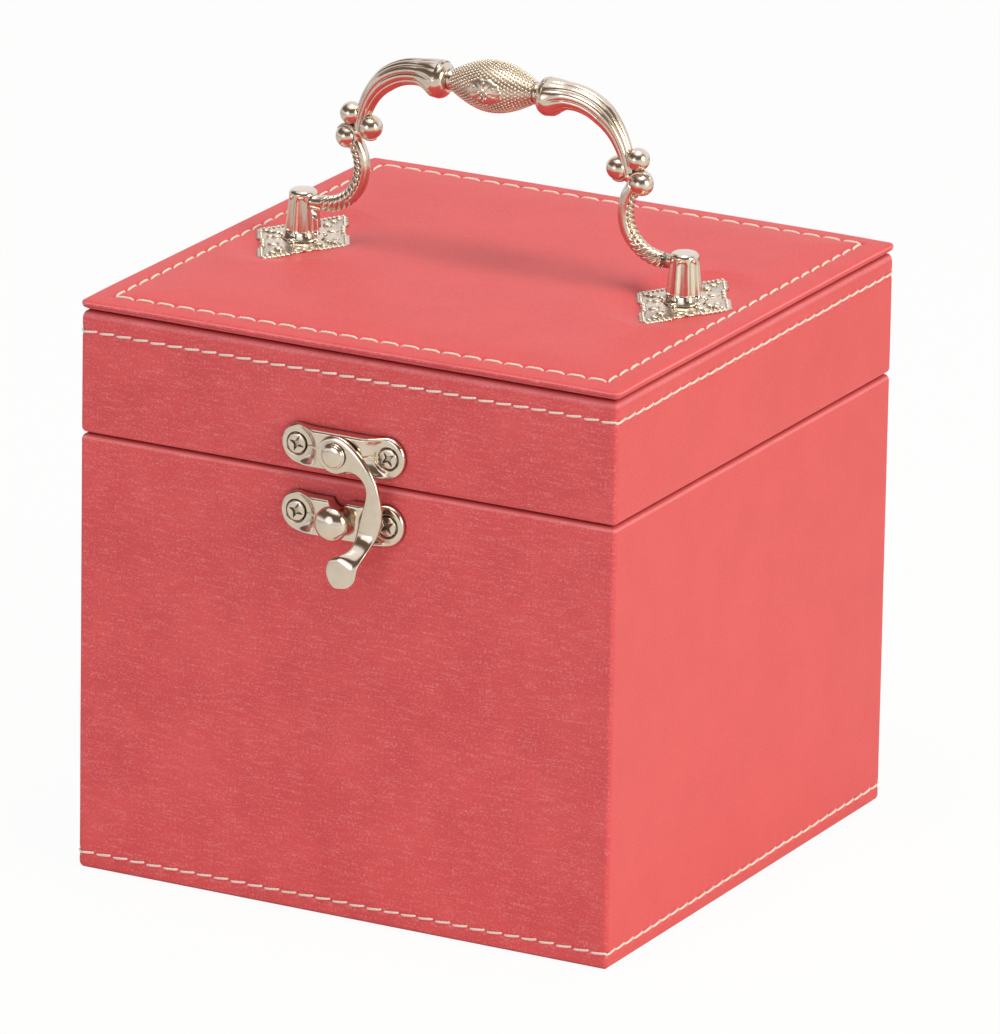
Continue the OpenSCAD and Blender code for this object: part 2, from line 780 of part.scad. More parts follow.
translate([post_x, 0, 0]) back_plate();  // right_back_plate
translate([-post_x, 0, 0]) mirror([1, 0, 0]) post();  // left_post
translate([post_x, 0, 0]) post();  // right_post
post_screws();
hook();
mirror([1, 0, 0]) handle_arm();  // left_handle_arm
handle_arm();  // right_handle_arm
handle_grip();
tray_body();
tray_dividers();
tray_lining();
tray_tabs();
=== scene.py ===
import json
from math import cos, hypot, pi, radians, sin, sqrt

import bmesh
import bpy
from bpy.props import FloatProperty, FloatVectorProperty, IntProperty, PointerProperty
from bpy.types import Operator, Panel, PropertyGroup
from mathutils import Matrix, Vector, noise


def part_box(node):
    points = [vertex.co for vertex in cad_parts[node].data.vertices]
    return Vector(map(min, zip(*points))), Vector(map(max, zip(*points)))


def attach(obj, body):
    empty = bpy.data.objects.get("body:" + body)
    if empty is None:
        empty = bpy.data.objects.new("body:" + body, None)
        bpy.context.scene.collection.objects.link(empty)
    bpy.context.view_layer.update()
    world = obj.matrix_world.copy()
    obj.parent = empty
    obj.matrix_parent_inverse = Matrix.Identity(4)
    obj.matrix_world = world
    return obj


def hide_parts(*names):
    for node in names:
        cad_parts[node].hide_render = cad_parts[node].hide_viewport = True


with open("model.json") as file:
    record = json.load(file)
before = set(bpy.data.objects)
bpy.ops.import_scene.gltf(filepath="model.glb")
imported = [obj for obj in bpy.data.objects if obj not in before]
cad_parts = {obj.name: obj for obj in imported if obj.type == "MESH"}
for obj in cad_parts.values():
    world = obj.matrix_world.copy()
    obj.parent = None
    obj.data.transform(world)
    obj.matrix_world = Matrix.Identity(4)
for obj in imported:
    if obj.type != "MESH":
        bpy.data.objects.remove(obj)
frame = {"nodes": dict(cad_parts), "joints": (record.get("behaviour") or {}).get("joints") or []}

bl_info = {
    "name": "Bobbin Box",
    "version": (1, 0, 0),
    "blender": (4, 5, 0),
    "location": "View3D > Sidebar > Bobbin Box",
    "description": "Dresses the bobbin box in stitched leatherette, nickel hardware and flock",
    "category": "Object",
}

MM = 0.001
SCREW_R = 1.95 * MM
# Thickness of a skin where it is turned in, and how far it is turned in
SKIN = 0.7 * MM
TURN_IN = 4.5 * MM
# Heights of a skin's rings across a seam, in millimetres from its middle
SEAM_STEPS = (-1.3, -0.9, -0.6, -0.3, 0, 0.3, 0.6, 0.9, 1.3)
# Thickness of a clasp plate as a share of the height of its raised waist
PLATE_SHARE = 0.40
# Half-length and half-height of the medallion on the grip, in millimetres
MEDALLION = (3.7, 2.7)
LENGTH = {"subtype": "DISTANCE", "unit": "LENGTH", "precision": 5}
COLOUR = {"subtype": "COLOR", "size": 3, "min": 0, "max": 1}


# ---- Numbers ----

def clamp(value):
    """A value held between 0 and 1."""
    return min(max(value, 0), 1)


def smooth(share):
    """A share from 0 to 1, eased at both its ends."""
    return share * share * (3 - 2 * share)


def around(count, offset=0.0):
    """Angles evenly spaced round a circle, in radians."""
    return [2 * pi * (j + offset) / count for j in range(count)]


# ---- Places that come from the frame ----

def corners(node):
    """Lowest and highest corner of a frame node, as vectors."""
    low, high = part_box(node)
    return Vector(low), Vector(high)


def middle(node):
    """Middle of a frame node's box."""
    low, high = corners(node)
    return (low + high) / 2


def half_size(node):
    """Half of a frame node's width, depth and height."""
    low, high = corners(node)
    return (high - low) / 2


def joint(name):
    """A joint of the frame, by name."""
    return next(j for j in frame["joints"] if j["name"] == name)


# ---- Settings ----

class LeatherSettings(PropertyGroup):
    """Leatherette skins and their sewing."""
    colour: FloatVectorProperty(
        name="Leatherette", description="Colour of the leatherette",
        default=(0.82, 0.113, 0.122), **COLOUR)
    # the fleck colour is also the colour of the painted highlight on rolled edges
    fleck_colour: FloatVectorProperty(
        name="Flecks", description="Colour of the fine pale flecks in its grain",
        default=(0.93, 0.30, 0.34), **COLOUR)
    thread_colour: FloatVectorProperty(
        name="Thread", description="Colour of the sewing thread",
        default=(1.0, 0.83, 0.77), **COLOUR)
    grain_depth: FloatProperty(
        name="Grain depth", description="Depth of the leatherette's grain",
        default=0.03 * MM, **LENGTH)
    thread_width: FloatProperty(
        name="Thread width", description="Diameter of the sewing thread",
        default=0.49 * MM, **LENGTH)
    side_pitch: FloatProperty(
        name="Side pitch", description="Distance from stitch to stitch on the sides",
        default=3.85 * MM, **LENGTH)
    panel_pitch: FloatProperty(
        name="Panel pitch", description="Distance from stitch to stitch on the top panel",
        default=4.5 * MM, **LENGTH)
    base_row: FloatProperty(
        name="Base row", description="Height of the lower row of stitches over the bottom",
        default=3.5 * MM, **LENGTH)
    lid_row: FloatProperty(
        name="Lid row", description="Depth of the lid's row of stitches below its top",
        default=4.2 * MM, **LENGTH)
    panel_row: FloatProperty(
        name="Panel row", description="Inset of the top panel's row of stitches",
        default=5.2 * MM, **LENGTH)
    crown: FloatProperty(
        name="Crown", description="Rise of the top panel's padding",
        default=0.55 * MM, **LENGTH)


class MetalSettings(PropertyGroup):
    """Nickel-plated hardware."""
    colour: FloatVectorProperty(
        name="Nickel", description="Colour of the nickel plate",
        default=(0.765, 0.665, 0.585), **COLOUR)
    # painted shade, with some tarnish, in the nickel's recesses
    shadow_colour: FloatVectorProperty(
        name="Recesses", description="Colour of the nickel in its recesses",
        default=(0.13, 0.09, 0.07), **COLOUR)
    strands: IntProperty(
        name="Strands", description="Strands in the handle's twisted scroll",
        default=5, min=3, max=8)
    turns: FloatProperty(
        name="Turns", description="Turns of the strands along the scroll", default=3.0)
    bead: FloatProperty(
        name="Bead", description="Radius of the beads on the grip",
        default=0.32 * MM, **LENGTH)


class LiningSettings(PropertyGroup):
    """Flock, ribbon and board inside the box."""
    flock_colour: FloatVectorProperty(
        name="Flock", description="Colour of the flock lining",
        default=(0.42, 0.10, 0.12), **COLOUR)
    ribbon_colour: FloatVectorProperty(
        name="Ribbon", description="Colour of the tray's ribbon tabs",
        default=(0.62, 0.10, 0.13), **COLOUR)
    board_colour: FloatVectorProperty(
        name="Board", description="Colour of the greyboard",
        default=(0.42, 0.34, 0.24), **COLOUR)


class StageSettings(PropertyGroup):
    """Camera, lamps and floor."""
    aim: FloatVectorProperty(
        name="Aim", description="Point that the camera looks at", subtype="XYZ",
        unit="LENGTH", size=3, default=(2.79 * MM, 0.0, 68.1 * MM))
    distance: FloatProperty(
        name="Distance", description="Distance from the camera to its aim",
        subtype="DISTANCE", unit="LENGTH", default=2.3599)
    azimuth: FloatProperty(
        name="Azimuth", description="Turn of the camera round the box, from the front",
        subtype="ANGLE", default=radians(27.94))
    elevation: FloatProperty(
        name="Elevation", description="Height angle of the camera", subtype="ANGLE",
        default=radians(17.77))
    roll: FloatProperty(
        name="Roll", description="Roll of the camera", subtype="ANGLE",
        default=radians(0.98))
    lens: FloatProperty(
        name="Lens", description="Focal length, in millimetres, on a 36 mm sensor",
        subtype="DISTANCE_CAMERA", unit="CAMERA", default=408.6)
    key_power: FloatProperty(
        name="Key lamp", description="Power of the large lamp on the right, in watts",
        unit="POWER", default=17.2)
    top_power: FloatProperty(
        name="Top lamp", description="Power of the lamp overhead, in watts",
        unit="POWER", default=12.4)
    front_power: FloatProperty(
        name="Front lamp", description="Power of the lamp before the box, in watts",
        unit="POWER", default=1.95)
    sky: FloatProperty(
        name="Room light", description="Strength of the light from all round",
        default=0.36)


# ---- Meshes ----

def add_piece(name, points, faces):
    """New smooth mesh object from points and faces."""
    mesh = bpy.data.meshes.new(name)
    mesh.from_pydata([tuple(p) for p in points], [], faces)
    mesh.validate()
    mesh.shade_smooth()
    piece = bpy.data.objects.new(name, mesh)
    bpy.context.scene.collection.objects.link(piece)
    return piece


def turn_outward(piece):
    """Makes every face of a closed mesh face outward."""
    bm = bmesh.new()
    bm.from_mesh(piece.data)
    bmesh.ops.recalc_face_normals(bm, faces=bm.faces)
    bm.to_mesh(piece.data)
    bm.free()
    return piece


class Parts:
    """Points and faces of several closed forms, gathered into one mesh."""

    def __init__(self):
        self.points = []
        self.faces = []

    def skin(self, rings, ends=True):
        """Skin over equal closed rings of points."""
        start, count = len(self.points), len(rings[0])
        for ring in rings:
            self.points.extend(ring)
        for i in range(len(rings) - 1):
            a, b = start + i * count, start + (i + 1) * count
            for j in range(count):
                k = (j + 1) % count
                self.faces.append((a + j, a + k, b + k, b + j))
        if ends:
            self.faces.append(tuple(start + j for j in reversed(range(count))))
            self.faces.append(tuple(start + (len(rings) - 1) * count + j for j in range(count)))

    def lathe(self, profile, place, sides=32):
        """Solid turned about Z from (radius, height) pairs."""
        self.skin([[place @ Vector((radius * cos(a), radius * sin(a), height))
                    for a in around(sides)] for radius, height in profile])

    def ball(self, centre, radius, sides=24, squash=1.0):
        """Ball, or a ball flattened along Z."""
        half = sides // 2
        profile = [(radius * sin(pi * i / half), -radius * squash * cos(pi * i / half))
                   for i in range(1, half)]
        self.lathe(profile, Matrix.Translation(centre), sides)

    def piece(self, name):
        """The gathered forms as one object."""
        return turn_outward(add_piece(name, self.points, self.faces))


def dress(piece, body, material, slot, *nodes):
    """Gives a piece its material and body, and hides the frame nodes that it stands for; the slot
    is not used.
    """
    piece.data.materials.clear()
    piece.data.materials.append(material)
    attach(piece, body)
    if nodes:
        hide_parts(*nodes)
    return piece


def dress_node(node, material, edge=0.0):
    """Gives a frame node its material and, where asked, rounded edges."""
    piece = frame["nodes"][node]
    piece.data.materials.clear()
    piece.data.materials.append(material)
    if edge > 0:
        weld = piece.modifiers.new("weld", "WELD")
        weld.merge_threshold = 0.002 * MM
        bevel = piece.modifiers.new("edge", "BEVEL")
        bevel.width = edge
        bevel.segments = 3
        bevel.limit_method = "ANGLE"
        bevel.angle_limit = radians(40)
        bevel.use_clamp_overlap = True
        bevel.harden_normals = True
    return piece


# ---- Materials ----

def material(name, colour, metallic=0.0, roughness=0.5):
    """New node material with its shader's constants set; returns (material, tree, shader)."""
    made = bpy.data.materials.new(name)
    made.use_nodes = True
    made.diffuse_color = (*colour, 1)
    tree = made.node_tree
    shader = tree.nodes["Principled BSDF"]
    shader.inputs["Base Color"].default_value = (*colour, 1)
    shader.inputs["Metallic"].default_value = metallic
    shader.inputs["Roughness"].default_value = roughness
    return made, tree, shader


def add_node(tree, kind, inputs=(), **settings):
    """New node with its settings, and its inputs set or linked."""
    made = tree.nodes.new(kind)
    for key, value in settings.items():
        setattr(made, key, value)
    for key, value in dict(inputs).items():
        if isinstance(value, bpy.types.NodeSocket):
            tree.links.new(value, made.inputs[key])
        else:
            made.inputs[key].default_value = value
    return made


def object_space(tree, scale=(1, 1, 1)):
    """Coordinates in metres, stretched by a scale."""
    coords = add_node(tree, "ShaderNodeTexCoord")
    mapping = add_node(tree, "ShaderNodeMapping",
                       {"Vector": coords.outputs["Object"], "Scale": scale})
    return mapping.outputs["Vector"]


def noise_of(tree, where, scale, detail=2.0, roughness=0.5):
    """Noise value over coordinates."""
    made = add_node(tree, "ShaderNodeTexNoise",
                    {"Vector": where, "Scale": scale, "Detail": detail, "Roughness": roughness})
    return made.outputs["Fac"]


def ramp(tree, value, low, high):
    """Straight ramp that is 0 at low and 1 at high."""
    made = add_node(tree, "ShaderNodeMapRange",
                    {"Value": value, "From Min": low, "From Max": high})
    return made.outputs["Result"]


def calc(tree, operation, *values):
    """Result of a calculation on numbers and sockets."""
    made = add_node(tree, "ShaderNodeMath", dict(enumerate(values)), operation=operation)
    return made.outputs["Value"]


def spread(tree, value, low, high):
    """A value between 0 and 1, spread from low to high."""
    made = add_node(tree, "ShaderNodeMapRange", {"Value": value, "To Min": low, "To Max": high})
    return made.outputs["Result"]


def tinted(colour, *factors):
    """A colour with each of its channels multiplied by a factor."""
    return tuple(c * f for c, f in zip(colour, factors))


def blend_colour(tree, share, first, second):
    """Mix of two colours by a share."""
    made = add_node(tree, "ShaderNodeMix", data_type="RGBA")
    for index, value in ((0, share), (6, first), (7, second)):
        if isinstance(value, bpy.types.NodeSocket):
            tree.links.new(value, made.inputs[index])
        else:
            made.inputs[index].default_value = value if index == 0 else (*value, 1)
    return made.outputs[2]


def bump(tree, shader, height, depth, strength=1.0):
    """Bump from a height, as the shader's normal."""
    made = add_node(tree, "ShaderNodeBump",
                    {"Height": height, "Distance": depth, "Strength": strength})
    tree.links.new(made.outputs["Normal"], shader.inputs["Normal"])


def crevices(tree, distance, low, high):
    """0 in narrow gaps and corners of a piece, 1 on its open faces."""
    near = add_node(tree, "ShaderNodeAmbientOcclusion", {"Distance": distance}, samples=6)
    return ramp(tree, near.outputs["AO"], low, high)


def mottled(tree, shader, share, colour, dark, height, depth):
    """Colour that runs from a darker shade to itself by a share, and a bump from a height."""
    tree.links.new(blend_colour(tree, share, tinted(colour, dark, dark, dark), colour),
                   shader.inputs["Base Color"])
    bump(tree, shader, height, depth)


def leatherette(settings):
    """Satin leatherette: soft mottling, fine sparkling flecks along the grain, pebbled bump, with
    painted sheen on the flecks in front and behind, a painted highlight on rolled edges and painted
    shade in gaps.
    """
    made, tree, shader = material("leatherette", settings.colour, roughness=0.45)
    shader.inputs["Specular Tint"].default_value = (1.0, 0.42, 0.50, 1)
    shader.inputs["Sheen Weight"].default_value = 0.04
    shader.inputs["Sheen Roughness"].default_value = 0.4
    shape = add_node(tree, "ShaderNodeNewGeometry")
    facing = add_node(tree, "ShaderNodeSeparateXYZ", {"Vector": shape.outputs["Normal"]}).outputs
    # 1 on faces that lie flat, on rolled upper edges, and on the front and the rear
    lying = ramp(tree, calc(tree, "ABSOLUTE", facing["Z"]), 0.55, 0.8)
    rolled = calc(tree, "MULTIPLY", ramp(tree, facing["Z"], 0.15, 0.38),
                  ramp(tree, facing["Z"], 0.78, 0.52))
    fore = calc(tree, "ABSOLUTE", facing["Y"])
    tree.links.new(spread(tree, lying, 0.45, 0.16), shader.inputs["Specular IOR Level"])

    def along(length):
        """Coordinates that draw a pattern out along the grain, which lies along X."""
        return add_node(tree, "ShaderNodeMix",
                        {0: lying, 4: object_space(tree, (1, 1, length)),
                         5: object_space(tree, (1, length, 1))},
                        data_type="VECTOR").outputs[1]

    fine = noise_of(tree, along(1.5), 1900, 3, 0.75)
    rows = noise_of(tree, along(7), 230, 4, 0.7)
    clouds = calc(tree, "SUBTRACT", noise_of(tree, object_space(tree), 90, 4, 0.6), 0.5)
    grain = calc(tree, "MULTIPLY_ADD", clouds, spread(tree, fore, 0.4, 1.0), fine)
    ground = blend_colour(tree, ramp(tree, grain, 0.28, 0.66),
                          tinted(settings.colour, 0.88, 0.80, 0.84), settings.colour)
    fleck = ramp(tree, calc(tree, "MULTIPLY_ADD", rows, 0.62, fine), 0.83, 1.05)
    # the flecks are the leatherette's own; their greater strength on the front and rear faces is
    # painted sheen
    flecked = blend_colour(tree, calc(tree, "MULTIPLY", fleck, spread(tree, fore, 0.10, 0.80)),
                           ground, settings.fleck_colour)
    # painted highlight: rolled upper edges, picked out by how far they face upward, turn toward the
    # fleck colour, streaked by the grain
    painted_roll_highlight = calc(tree, "MULTIPLY", rolled, ramp(tree, grain, -0.1, 0.9))
    bright = blend_colour(tree, painted_roll_highlight, flecked, settings.fleck_colour)
    # painted shade: gaps, grooves and corners darken toward half the colour
    shaded = blend_colour(tree, crevices(tree, 1.5 * MM, 0.12, 0.82),
                          tinted(settings.colour, 0.5, 0.5, 0.5), bright)
    tree.links.new(shaded, shader.inputs["Base Color"])
    bump(tree, shader, calc(tree, "ADD", fine, rows), settings.grain_depth, 0.7)
    tree.links.new(spread(tree, rows, 0.38, 0.54), shader.inputs["Roughness"])
    return made


def thread(settings):
    """Twisted sewing thread."""
    made, tree, shader = material("thread", settings.thread_colour, roughness=0.6)
    shader.inputs["Sheen Weight"].default_value = 0.3
    fibre = noise_of(tree, object_space(tree), 5200, 2)
    mottled(tree, shader, ramp(tree, fibre, 0.3, 0.6), settings.thread_colour, 0.8,
            fibre, 0.06 * MM)
    return made


# Kinds of nickel: roughness, and for the shade painted into recesses its reach, the openness at
# which it ends, and the least openness
NICKEL = {
    "nickel": (0.13, 0.9 * MM, 0.78, 0.0),
    "cast nickel": (0.18, 0.45 * MM, 0.75, 0.42),
    "beaded nickel": (0.30, 0.3 * MM, 0.75, 0.30),
    "pale nickel": (0.26, 0.35 * MM, 0.75, 0.40),
    "sunk nickel": (0.2, 1.5 * MM, 0.95, 0.0),
}


def nickel(settings, name):
    """Polished nickel plate; its recesses turn brown with painted shade and some tarnish."""
    roughness, reach, high, least = NICKEL[name]
    made, tree, shader = material(name.replace(" ", "_"), settings.colour, 1.0, roughness)
    where = object_space(tree)
    shape = add_node(tree, "ShaderNodeNewGeometry")
    # painted shade: ambient occlusion and low pointiness turn the recesses toward the shadow colour
    openness = calc(tree, "MULTIPLY", crevices(tree, reach, high - 0.7, high),
                    ramp(tree, shape.outputs["Pointiness"], 0.38, 0.49))
    tarnish = ramp(tree, noise_of(tree, where, 420, 3), 0.35, 0.75)
    patched = blend_colour(tree, tarnish, settings.colour,
                           tinted(settings.colour, 0.93, 0.89, 0.84))
    tree.links.new(blend_colour(tree, spread(tree, openness, least, 1.0),
                                settings.shadow_colour, patched), shader.inputs["Base Color"])
    tree.links.new(spread(tree, noise_of(tree, where, 900, 4), roughness * 0.7, roughness * 1.5),
                   shader.inputs["Roughness"])
    bump(tree, shader, noise_of(tree, where, 700, 2), 0.012 * MM)
    return made


def flock(settings):
    """Short-piled flock."""
    made, tree, shader = material("flock", settings.flock_colour, roughness=0.95)
    shader.inputs["Sheen Weight"].default_value = 0.8
    shader.inputs["Sheen Roughness"].default_value = 0.35
    where = object_space(tree)
    pile = noise_of(tree, where, 2600, 3)
    brushed = calc(tree, "MULTIPLY", pile, noise_of(tree, where, 60, 2))
    mottled(tree, shader, ramp(tree, brushed, 0.12, 0.36), settings.flock_colour, 0.7,
            pile, 0.25 * MM)
    return made


def satin_ribbon(settings):
    """Satin ribbon with a fine rib across it."""
    made, tree, shader = material("ribbon", settings.ribbon_colour, roughness=0.35)
    shader.inputs["Sheen Weight"].default_value = 0.4
    rib = add_node(tree, "ShaderNodeTexWave", {"Vector": object_space(tree), "Scale": 900.0},
                   bands_direction="Z").outputs["Fac"]
    mottled(tree, shader, rib, settings.ribbon_colour, 0.75, rib, 0.05 * MM)
    return made


def greyboard(settings):
    """Dense greyboard with pressed fibres."""
    made, tree, shader = material("greyboard", settings.board_colour, roughness=0.9)
    fibre = noise_of(tree, object_space(tree), 1100, 6, 0.7)
    mottled(tree, shader, ramp(tree, fibre, 0.35, 0.65), settings.board_colour, 0.7,
            fibre, 0.08 * MM)
    return made


_made = {}


def finish(name):
    """The material of that name, made once from the scene's settings."""
    if name not in _made:
        scene = bpy.context.scene
        leather, lining = scene.box_leather, scene.box_lining
        if name in NICKEL:
            _made[name] = nickel(scene.box_metal, name)
        else:
            maker, settings = {"leatherette": (leatherette, leather), "thread": (thread, leather),
                               "flock": (flock, lining), "ribbon": (satin_ribbon, lining),
                               "greyboard": (greyboard, lining)}[name]
            _made[name] = maker(settings)
    return _made[name]


# ---- Skins and stitches ----

def stadium(half_flat, radius, per_side, per_end):
    """Outline with two straight sides and two round ends, as (u, v)."""
    points = []
    for side in (-1, 1):
        for i in range(per_side):
            points.append((side * half_flat * (2 * i / per_side - 1), side * radius))
        for i in range(per_end):
            a = pi / 2 - pi * i / per_end
            points.append((side * (half_flat + radius * cos(a)), side * radius * sin(a)))
    return points


def box_ring(half_w, half_d, radius, per_side, per_corner):
    """Rounded rectangle as (x, y, run along the side from its middle, side's half-length)."""
    sharpest = 0.02 * MM
    radius = max(radius, sharpest)
    points = []
    for side in range(4):
        turn = Matrix.Rotation(side * pi / 2, 2)
        across, deep = (half_w, half_d) if side % 2 == 0 else (half_d, half_w)
        flat = across - radius
        for i in range(per_side):
            run = -flat + 2 * flat * i / per_side
            x, y = turn @ Vector((run, -deep))
            points.append((x, y, run, across))
        for i in range(per_corner):
            a = pi / 2 * i / per_corner
            x, y = turn @ Vector((flat + radius * sin(a), -deep + radius - radius * cos(a)))
            points.append((x, y, flat + radius * a, across))
    return points


def even_rows(half, pitch):
    """Number of stitches along a side of that half-length, and their even pitch."""
    count = round(2 * half / pitch)
    return count, 2 * half / count


def gather(run, half, pitch):
    """Pull of the thread along a seam: 1 at the needle holes, 0 under a stitch's middle."""
    return (0.5 + 0.5 * cos(2 * pi * (run + half) / even_rows(half, pitch)[1])) ** 3


def groove(distance, width):
    """Round-shouldered groove across a seam: 1 in its middle, 0 outside it."""
    reach = min(abs(distance) / width, 1.0)
    return 0.5 + 0.5 * cos(pi * reach)


def dome(radius, foot, rise, steps):
    """(radius, height) pairs of a dome over its foot."""
    angles = [pi / 2 * i / steps for i in range(steps)]
    return [(radius * cos(a), foot + rise * sin(a)) for a in angles]


def arc_profile(radius, start, end, steps):
    """(inset, rise) pairs of a rounded edge, for angles from start to end in degrees."""
    angles = [radians(start + (end - start) * i / steps) for i in range(steps + 1)]
    return [(radius - radius * cos(a), radius * sin(a)) for a in angles]


def side_skin(name, node, profile, row_z, pitch):
    """Skin of one half of the box: rounded-rectangle rings along a profile of (inset, height)."""
    half_w, half_d, _ = half_size(node)
    corner, seam_width, waviness = 0.9 * MM, 1.2 * MM, 0.06 * MM
    # inset up to which a ring is on the outer face, which the thread draws in
    outer = 0.3 * MM
    rings = []
    for inset, z in profile:
        ring = []
        for x, y, run, half in box_ring(half_w - inset, half_d - inset, corner - inset,
                                        per_side=248, per_corner=8):
            pull = 0.0
            if inset < outer:
                seam = groove(z - row_z, seam_width)
                pull = seam * (0.08 + 0.26 * gather(run, half, pitch)) * MM
                pull += waviness * noise.noise(Vector((x, y, z)) * 45)
            length = hypot(x, y)
            ring.append(Vector((x - x / length * pull, y - y / length * pull, z)))
        rings.append(ring)
    parts = Parts()
    parts.skin(rings, ends=False)
    # closes the skin on itself, so that it has an inner face too
    count = len(rings[0])
    last = (len(rings) - 1) * count
    for j in range(count):
        k = (j + 1) % count
        parts.faces.append((last + j, last + k, k, j))
    return parts.piece(name)


def stitch(parts, centre, along, out, length, width, slant):
    """One stitch of two-ply thread, its ends drawn down into the skin."""
    across = out.cross(along)
    rings = []
    steps, sides = 10, 8
    for i in range(steps + 1):
        u = 2 * i / steps - 1
        p = centre + along * (u * length / 2) + across * (slant * u * length / 2)
        p = p + out * width * (0.36 - 0.62 * u ** 4)
        thick = width / 2 * (1 - 0.25 * u ** 6)
        ring = []
        for a in around(sides):
            ply = 1 + 0.14 * cos(2 * a + 5 * pi * u)
            ring.append(p + thick * ply * (across * cos(a) + out * sin(a)))
        rings.append(ring)
    parts.skin(rings)


def seam_places(half_w, half_d, short, inset, pitch):
    """Side, number, even pitch, turn and place of every stitch of a seam round a rectangle.

    The seam lies that far inside the rectangle, and each side of it ends short of the corners.
    """
    for side in range(4):
        turn = Matrix.Rotation(side * pi / 2, 3, "Z")
        across, deep = (half_w, half_d) if side % 2 == 0 else (half_d, half_w)
        count, even_pitch = even_rows(across - short, pitch)
        for i in range(count):
            run = (i - (count - 1) / 2) * even_pitch
            yield side, i, even_pitch, turn, turn @ Vector((run, inset - deep, 0))


def side_stitches(name, node, row_z, settings):
    """Row of stitches round the four sides."""
    half_w, half_d, _ = half_size(node)
    sunk, wobble = 0.17 * MM, 0.06 * MM
    # share of the pitch that a stitch covers: in front and behind, and on the other two sides
    covered = (0.86, 0.96)
    parts = Parts()
    for side, i, pitch, turn, centre in seam_places(half_w, half_d, 0, sunk,
                                                    settings.side_pitch):
        centre.z = row_z + wobble * sin(7.3 * i + side)
        stitch(parts, centre, turn @ Vector((1, 0, 0)), turn @ Vector((0, -1, 0)),
               pitch * covered[side % 2], settings.thread_width, 0.10)
    return parts.piece(name)


def cover(body, profile, row_z, settings):
    """Dresses a half of the box in its skin, its row of stitches and its board."""
    node = body + "_cover"
    skin = side_skin(body + "_skin", node, profile, row_z, settings.side_pitch)
    dress(skin, body, finish("leatherette"), "leatherette", node)
    rows = side_stitches(body + "_stitches", node, row_z, settings)
    dress(rows, body, finish("thread"), "leatherette")
    dress_node(body + "_board", finish("greyboard"))


# ---- Operators ----

